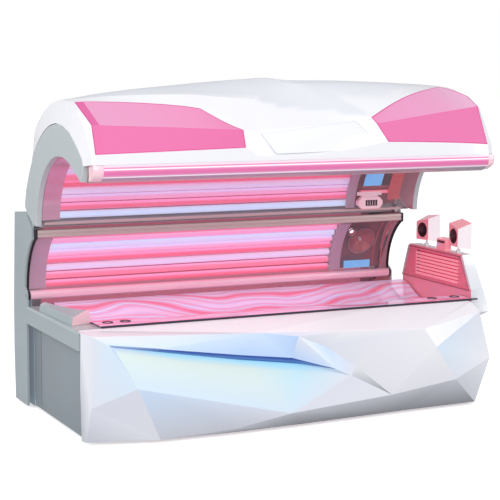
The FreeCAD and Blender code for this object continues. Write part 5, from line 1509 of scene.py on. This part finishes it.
@dataclass
class Linings:
    """Reflector sheets, foot covers, mullions and the tanners at the head end of both banks.

    Attributes:
        ends: Where the reflector sheets start and end along X.
        sheet: The two offsets of the sheet behind the tubes.
        glass: The two offsets of the tanners' panes.
        dish_at: Offset of a dish's rim.
        bar_at: Offset of the burner bars.
        bar_radius: Radius of those bars.
    """

    ends: Point2 = (58.0, 1840.0)
    sheet: Point2 = (60.0, 62.0)
    glass: Point2 = (12.0, 14.5)
    dish_at: float = 16.0
    bar_at: float = 30.0
    bar_radius: float = 11.0

    def pane(self, track: Track, offsets: Point2, x: Point2, runs: Point2, shape: Shaper, slot: int) -> None:
        """Adds one curved pane between two offsets of a track."""
        outline = track.band(*offsets, *runs)
        half = len(outline) // 2
        for x_end in x:
            for k in range(half - 1):
                a, b, c, d = outline[k], outline[k + 1], outline[-2 - k], outline[-1 - k]
                shape.add([(x_end, *p) for p in (a, b, c, d)], slot)
        for k in range(len(outline)):
            a, b = outline[k], outline[(k + 1) % len(outline)]
            shape.add([(x[0], *a), (x[1], *a), (x[1], *b), (x[0], *b)], slot)

    def reflector(self, name: str, track: Track, body: Body, cover: tuple[Point2, Point2, Finish], runs: Point2,
                  node: str) -> None:
        """Bright sheet behind the tubes with the plain cover at their foot end."""
        shape = Shaper()
        offsets, x, finish = cover
        self.pane(track, self.sheet, self.ends, runs, shape, 0)
        self.pane(track, offsets, x, runs, shape, 1)
        make_piece(name, shape, body, [MIRROR_SHEET, finish], [node], Dressing(0.0, 30, 25))

    def dish(self, shape: Shaper, track: Track, run: float, x: float, radius: float, depth: float,
             lamp: bool) -> None:
        """Adds a round dished reflector with its burner in the middle."""
        front, rear = track.at(run, self.dish_at), track.at(run, self.dish_at + depth)
        axis = Vector((0, rear[0] - front[0], rear[1] - front[1])).normalized()
        centre = (x, *front)
        rim = [(radius, 0), (radius, 2), (radius - 3, 2), (radius * 0.72, depth * 0.45), (radius * 0.35, depth - 4),
               (0, depth - 4)]
        shape.turned(rim, centre, tuple(axis), [1, 1, 0, 0, 0], 24)
        tip = [(0, 8), (9, 9), (12, 14), (12, depth - 6)] if lamp else [(0, 14), (7, 15), (9, 20), (9, depth - 6)]
        shape.turned([*tip, (0, depth - 5)], centre, tuple(axis), 2 if lamp else 3, 16)

    def tanner(self, name: str, track: Track, body: Body, mullion: tuple[float, float, Point2], back_x: Point2,
               runs: Point2, dishes: Sequence[tuple[float, float, float, float, bool]],
               panes: Sequence[tuple[Point2, Point2, int]], bars: Sequence[tuple[float, Point2, int]],
               node: str) -> None:
        """Builds one tanner behind its clear sheet.

        Args:
            name: The piece's name.
            track: The curve it follows.
            body: The body it rides on.
            mullion: Near and far offset of the mullion, and its X range.
            back_x: X range of the backplate.
            runs: Where it starts and ends along the track.
            dishes: Run, X, radius and depth of each dish, and whether its lamp is lit.
            panes: X range, run range and slot of each pane.
            bars: Run, X range and slot of each burner bar.
            node: The node that it stands for.
        """
        shape = Shaper()
        near, far, mullion_x = mullion
        self.pane(track, (near, far), mullion_x, (4, runs[1]), shape, 4)
        self.pane(track, self.sheet, back_x, runs, shape, 5)
        for run, x, radius, depth, lamp in dishes:
            self.dish(shape, track, run, x, radius, depth, lamp)
        for x, pane_runs, slot in panes:
            self.pane(track, self.glass, x, pane_runs, shape, slot)
        for run, (x0, x1), slot in bars:
            shape.turned([(0, 0), (self.bar_radius, 0), (self.bar_radius, x1 - x0), (0, x1 - x0)],
                         (x0, *track.at(run, self.bar_at)), (1, 0, 0), slot, 16)
        make_piece(name, shape, body,
                   [BURNER_RED, PLATED_STEEL, BURNER_LAMP, HOLDER, MULLION, BURNER_BACK, BURNER_BLUE, EMBER_BACK,
                    BLACK_ABS, RED_BAR],
                   [node], Dressing(0.0, 30, 30))

    def make(self) -> None:
        """Builds both banks' linings."""
        self.reflector("side_bank_lining", SIDE_TRACK, Body.BASE, ((9, 11), (23, 118), SIDE_COVER), (6, 322),
                       "side_reflector")
        self.reflector("canopy_bank_lining", CANOPY_TRACK, Body.CANOPY, ((10, 12), (34, 129), COVER_SHEET), (8, 880),
                       "canopy_reflector")
        self.tanner("shoulder_tanner_unit", SIDE_TRACK, Body.BASE, (8, 11, (1828, 1892)), (1892, 2180), (6, 322),
                    ((166.0, 2018.0, 84, 44, False), (228.0, 1938.0, 24, 30, True)),
                    (((1920, 2092), (10, 52), 6), ((2108, 2112), (20, 318), 7), ((2160, 2168), (20, 318), 7)), (),
                    "shoulder_tanner")
        self.tanner("face_tanner_unit", CANOPY_TRACK, Body.CANOPY, (7, 12, (1806, 1864)), (1846, 2160), (8, 880),
                    ((330.0, 2040.0, 66, 42, False), (510.0, 2040.0, 66, 42, False)),
                    (((1905, 2020), (126, 250), 6), ((2034, 2072), (126, 250), 8), ((2076, 2156), (40, 250), 7)),
                    ((112.0, (1905, 2150), 0), (82.0, (1905, 2150), 9)), "face_tanner")


# ------------------------------------------------------------------ foot cover and console trim


@dataclass
class FootCover:
    """Low faceted cap over the foot end of the bench.

    Attributes:
        sections: Six (x, y, z) corners each from the front to the rear.
        front_slot: Finish of the cap's front face, blush with painted light.
        side_slots: Finish of each of its six long faces; the blush ones carry painted light of the tubes.
    """

    sections: tuple[tuple[Point3, ...], ...] = (
        ((32, 229, 547), (38, 233, 588), (106, 250, 617), (128, 257, 620), (139, 268, 584), (139, 268, 547)),
        ((28, 380, 547), (34, 382, 587), (84, 384, 609), (122, 386, 600), (139, 388, 575), (139, 388, 547)),
        ((23, 560, 547), (29, 561, 586), (58, 562, 600), (112, 563, 584), (139, 564, 566), (139, 564, 547)),
        ((18, 716, 547), (24, 714, 584), (50, 712, 594), (104, 712, 576), (139, 712, 560), (139, 712, 547)),
    )
    front_slot: int = 1
    side_slots: tuple[int, ...] = (0, 0, 2, 2, 2, 0)

    def make(self) -> None:
        """Builds the cap with its three finishes."""
        shape = Shaper()
        first, last = self.sections[0], self.sections[-1]
        shape.add(first, self.front_slot)
        shape.add(last[::-1], 0)
        for near, far in zip(self.sections, self.sections[1:]):
            for k in range(len(near)):
                n = (k + 1) % len(near)
                shape.add([near[k], far[k], far[n], near[n]], self.side_slots[k])
        make_piece("foot_cover", shape, Body.BASE, [GREY_SIDE, BLUSH_FACET, GREY_BLUSH],
                   ["foot_end_cover"], Dressing(2.5, 14, 12))


@dataclass
class FootInfill:
    """Recessed panel between the foot side panel and the rear cheek.

    Attributes:
        x: Its outer and inner face.
        outline: Its (y, z) corners; the top steps back behind the fold-down sheet.
    """

    x: Point2 = (40.5, 43.5)
    outline: tuple[Point2, ...] = (
        (873.0, 10.0), (1010.0, 10.0), (1010.0, 624.0), (914.0, 624.0), (914.0, 532.0), (873.0, 532.0),
    )

    def make(self) -> None:
        """Builds the panel."""
        shape = Shaper()
        shape.along_x(self.outline, *self.x)
        make_piece("foot_side_infill", shape, Body.BASE, [GREY_INFILL], (),
                   Dressing(0.8, 40, 30))


@dataclass
class ConsoleTrim:
    """Sockets, indicator, screws and cover plate's rim of the head console.

    Attributes:
        socket_y: Middles of the sockets.
        socket_z: Their height.
        socket_x: Where their mouths stand.
        plate_x: Front face of the cover plate.
        screws: (y, z) of the screws in its corners.
        outline: (y, z) corners of the plate.
        inwards: Which way each corner moves to the rim's inner edge.
        rim: Width of the rim.
    """

    socket_y: tuple[float, ...] = tuple(442 + 19 * k for k in range(4))
    socket_z: float = 827.0
    socket_x: float = 2301.0
    plate_x: float = 2284.2
    screws: tuple[Point2, ...] = ((190, 618), (830, 618), (774, 748), (262, 762))
    outline: tuple[Point2, ...] = ((151, 592.5), (861, 592.5), (795, 771.5), (249, 771.5))
    inwards: tuple[Point2, ...] = ((1.2, 1.0), (-1.2, 1.0), (-0.9, -1.0), (0.9, -1.0))
    rim: float = 3.0

    def make(self) -> None:
        """Builds the small parts that sit on the console's face."""
        shape = Shaper()
        for y in self.socket_y:
            shape.turned([(7.5, 1.5), (7.5, -1.2), (5.2, -1.6), (4.6, 1.0), (0, 1.2)],
                         (self.socket_x, y, self.socket_z), (1, 0, 0.1), [0, 0, 0, 1], 20)
        make_piece("console_sockets", shape, Body.BASE, [BLACK_ABS, CONE], ())
        rim = Shaper()
        inner = [(y + self.rim * across, z + self.rim * up) for (y, z), (across, up) in zip(self.outline, self.inwards)]
        front, back = self.plate_x, self.plate_x + 0.3
        rim.strip([(front, *p) for p in self.outline], [(front, *p) for p in inner])
        rim.strip([(back, *p) for p in self.outline], [(front, *p) for p in self.outline])
        rim.strip([(front, *p) for p in inner], [(back, *p) for p in inner])
        make_piece("console_plate_rim", rim, Body.BASE, [PLATE_EDGE], ())
        led = Shaper()
        led.block((2299.6, 2302.0), (489, 505), (805, 813))
        make_piece("console_indicator", led, Body.BASE, [BLUE_LED], ())
        heads = Shaper()
        for y, z in self.screws:
            heads.turned([(5.5, 0.5), (5.5, 0.1), (4.2, -0.05), (0, -0.1)], (self.plate_x, y, z), (1, 0, 0), 0, 16)
        make_piece("console_plate_screws", heads, Body.BASE, [PLATED_STEEL], ())


@dataclass
class VentSlats:
    """Tilted slats of the console's vent before its crimson filter mat.

    Attributes:
        count: Number of slats.
        foot: The lowest slat's lower edge, as (x, z).
        pitch: Height from one slat to the next.
        lean: How far a full slat reaches back and up.
        reach: Share of a full slat that is kept, so that the mat shows between the slats.
        thick: Thickness of a slat.
        y: Where the slats and the mat start and end.
        z: Where the mat starts and ends.
        mat_x: Front and rear of the mat.
        shade_y: Where the vent's side throws its shadow on the mat.
    """

    count: int = 7
    foot: Point2 = (2290.2, 615.0)
    pitch: float = 19.6
    lean: Point2 = (6.0, 16.0)
    reach: float = 0.8
    thick: float = 2.3
    y: Point2 = (268.5, 717.5)
    z: Point2 = (612.5, 753.5)
    mat_x: Point2 = (2297.0, 2297.6)
    # shade_y: Where the vent's side throws its painted shadow on the mat.
    shade_y: Point2 = (692.0, 712.0)

    def make(self) -> None:
        """Grows the slats and joins them with the mat."""
        back, up = (part * self.reach for part in self.lean)
        places = [(self.foot[0] + back / 2, sum(self.y) / 2, self.foot[1] + k * self.pitch + up / 2)
                  for k in range(self.count)]
        slats = grown("console_slats", SlatTree(), places, [0.0] * self.count, {
            "Size": (self.thick * MM, (self.y[1] - self.y[0]) * MM, math.hypot(back, up) * MM),
            "Turn": (0.0, math.atan2(back, up), 0.0), "Material": PINK_SLAT.build()})
        for face in slats.polygons:
            face.material_index = 0
        mat = Shaper()
        mat.block(self.mat_x, self.y, self.z, 1)
        # A painted shadow of the vent's side: a dark strip in the cone's colour on the mat.
        mat.block((self.mat_x[0] - 0.4, self.mat_x[0] - 0.1), self.shade_y, self.z, 2)
        make_piece("console_slats", joined("console_slats", (slats, mat.mesh("console_mat"))), Body.BASE,
                   [PINK_SLAT, VENT_SHADOW, CONE], ["console_louvres"], Dressing(0.0, 30, 30))


# ------------------------------------------------------------------ carried-over nodes

# Nodes that keep their own shape, by finish.
NODE_FINISHES: tuple[tuple[Finish, str], ...] = (
    (PLATED_STEEL, "floor_tray end_frames rear_posts canopy_frame"),
    (BLACK_RUBBER, "levelling_feet side_gaskets"),
    (BLACK_PAINT, "ballast_units gas_cylinder_foot gas_cylinder_head"),
    (GREY_SIDE, "foot_side_rail rear_cheeks"),
    (GREY_DEEP, "foot_side_panel"),
    (WHITE_SHELL, "head_side_panel"),
    (WHITE_PAINT, "rear_cover"),
    (BLACK_ABS, "fan_housings exhaust_fan_foot exhaust_fan_head console_fan key_1 key_2 key_3 key_4 key_5"),
    (MIRROR_SHEET, "bench_reflector"),
    (HOLDER, "base_lamp_holders canopy_lamp_holders"),
    (CAP_WHITE, "console_shell console_cap"),
    (PINK_VENT, "console_vent_panel"),
    (SMOKE_PLATE, "console_cover_plate"),
    (SPEAKER_BLUSH, "audio_socket_box"),
    (CLEAR_SHEET, "side_acrylic canopy_acrylic"),
    (GREY_END, "canopy_back_cover"),
    (BLUSH_WHITE, "control_panel"),
    (CHROME_ROD, "gas_rod_foot gas_rod_head"),
)


# Nodes whose faces towards the tubes get copies of their finish with painted light in the tubes' colour.
LIT_FACES: dict[str, tuple[tuple[Finish, Point3, float], ...]] = {
    "console_shell": ((CONSOLE_ROSE, (-1.0, 0.0, 0.0), 0.0), (CAP_ROSE, (0.0, 0.0, 1.0), 0.0)),
    "rear_cover": ((REAR_ROSE, (0.0, -1.0, 0.0), 0.0),),
    "rear_cheeks": ((ARCH_LIT, (-1.0, 0.0, 0.0), 2000.0),),
    "canopy_back_cover": ((ARCH_LIT, (0.0, -1.0, 0.0), 1900.0),),
}


# ------------------------------------------------------------------ studio


@dataclass
class Studio:
    """Camera, lamps, world and floor.

    Attributes:
        camera_place: Where the camera stands, in metres.
        yaw: Degrees that it looks to the right of straight back.
        pitch: Degrees that it looks down.
        roll: Degrees that it leans about its own axis.
        focal_px: Focal length in pixels of a frame that is frame_px wide.
        lights: Name, place, aim, size and power of each lamp.
    """

    camera_place: Point3 = (-3.58914, -7.32733, 1.89754)
    yaw: float = 25.42
    pitch: float = 7.44
    roll: float = 0.33
    focal_px: float = 1538.06
    frame_px: float = 500.0
    lights: tuple[tuple[str, Point3, Point3, float, float], ...] = (
        ("key", (-2.2, -5.5, 2.8), (0.0, 0.0, 0.8), 3.5, 134.0),
        ("fill", (4.5, -3.0, 2.2), (0.4, 0.0, 0.8), 3.0, 70.0),
        ("side", (-5.2, 0.2, 2.9), (-1.0, 0.0, 1.0), 2.6, 96.0),
        ("top", (0.3, -1.6, 6.2), (0.0, 0.0, 1.0), 3.0, 42.0),
    )

    def make_camera(self) -> None:
        """Places the camera at the object's usual three-quarter view."""
        data = bpy.data.cameras.new("camera")
        data.sensor_fit = "HORIZONTAL"
        data.sensor_width = 36.0
        data.lens = self.focal_px / self.frame_px * data.sensor_width
        data.clip_end = 100.0
        camera = bpy.data.objects.new("camera", data)
        yaw, pitch, roll = (math.radians(v) for v in (self.yaw, self.pitch, self.roll))
        forward = Vector((math.sin(yaw) * math.cos(pitch), math.cos(yaw) * math.cos(pitch), -math.sin(pitch)))
        level = Vector((math.cos(yaw), -math.sin(yaw), 0.0))
        up = level.cross(forward)
        right = level * math.cos(roll) + up * math.sin(roll)
        top = up * math.cos(roll) - level * math.sin(roll)
        axes = (right, top, -forward, Vector(self.camera_place))
        camera.matrix_world = Matrix([[axis[k] for axis in axes] for k in range(3)] + [[0, 0, 0, 1]])
        bpy.context.scene.collection.objects.link(camera)
        bpy.context.scene.camera = camera

    def make_light(self, name: str, place: Point3, aim: Point3, size: float, power: float) -> None:
        """Adds one soft square lamp aimed at a point."""
        data = bpy.data.lights.new(name, "AREA")
        data.energy = power
        data.size = size
        lamp = bpy.data.objects.new(name, data)
        lamp.location = place
        lamp.rotation_euler = (Vector(aim) - Vector(place)).to_track_quat("-Z", "Y").to_euler()
        bpy.context.scene.collection.objects.link(lamp)

    def seen(self, tree: Tree) -> Socket:
        """Returns 1 where the camera looks straight or through a clear sheet."""
        rays = add_node(tree, "ShaderNodeLightPath").outputs
        direct = {0: rays["Is Camera Ray"], 1: rays["Is Transmission Ray"]}
        return add_node(tree, "ShaderNodeMath", direct, operation="MAXIMUM").outputs[0]

    def make_world(self, strength: float = 0.66) -> None:
        """Pale world that shows as white to the camera and in reflections."""
        world = bpy.data.worlds.new("studio")
        bpy.context.scene.world = world
        world.use_nodes = True
        tree = world.node_tree
        tree.nodes.clear()
        seen = self.seen(tree)
        room = add_node(tree, "ShaderNodeBackground", {"Color": linear("#eef0f6"), "Strength": strength})
        white = add_node(tree, "ShaderNodeBackground", {"Color": linear("#ffffff"), "Strength": 1.0})
        mixed = add_node(tree, "ShaderNodeMixShader", {0: seen, 1: room.outputs[0], 2: white.outputs[0]})
        add_node(tree, "ShaderNodeOutputWorld", {"Surface": mixed.outputs[0]})

    def make_floor(self) -> None:
        """Pale floor that keeps the bed's soft shadow."""
        mesh = bpy.data.meshes.new("studio_floor")
        far = 40.0
        mesh.from_pydata([(-far, -far, 0), (far, -far, 0), (far, far, 0), (-far, far, 0)], [], [(0, 1, 2, 3)])
        floor = bpy.data.objects.new("studio_floor", mesh)
        material = bpy.data.materials.new("studio_paper")
        material.use_nodes = True
        tree = material.node_tree
        tree.nodes.clear()
        seen = self.seen(tree)
        paper = add_node(tree, "ShaderNodeBsdfDiffuse", {"Color": linear("#f4f4f6")})
        dim = add_node(tree, "ShaderNodeBsdfDiffuse", {"Color": linear("#b4b4b8")})
        lit = add_node(tree, "ShaderNodeEmission", {"Color": linear("#ffffff"), "Strength": 0.55})
        both = add_node(tree, "ShaderNodeAddShader", {0: paper.outputs[0], 1: lit.outputs[0]})
        mixed = add_node(tree, "ShaderNodeMixShader", {0: seen, 1: dim.outputs[0], 2: both.outputs[0]})
        add_node(tree, "ShaderNodeOutputMaterial", {"Surface": mixed.outputs[0]})
        mesh.materials.append(material)
        bpy.context.scene.collection.objects.link(floor)

    def make(self) -> None:
        """Sets up the whole studio."""
        bpy.context.scene.view_settings.view_transform = "Standard"
        self.make_camera()
        self.make_world()
        self.make_floor()
        for light in self.lights:
            self.make_light(*light)


def main() -> None:
    """Builds the bed sub-assembly by sub-assembly."""
    logging.basicConfig(level=logging.INFO, format="%(message)s")
    Studio().make()
    for finish, nodes in NODE_FINISHES:
        for node in nodes.split():
            dress_node(node, finish, LIT_FACES.get(node, ()))
    CanopySkin().make()
    trim = CanopyTrim()
    trim.make_strip()
    trim.make_end_panels()
    trim.make_name_plate()
    trim.make_rails()
    Lamps().make()
    Linings().make()
    FrontMoulding().make()
    BenchSheet().make()
    SideBank().make()
    FootCover().make()
    FootInfill().make()
    ConsoleTrim().make()
    VentSlats().make()
    Speakers().make()


if __name__ == "__main__":
    main()
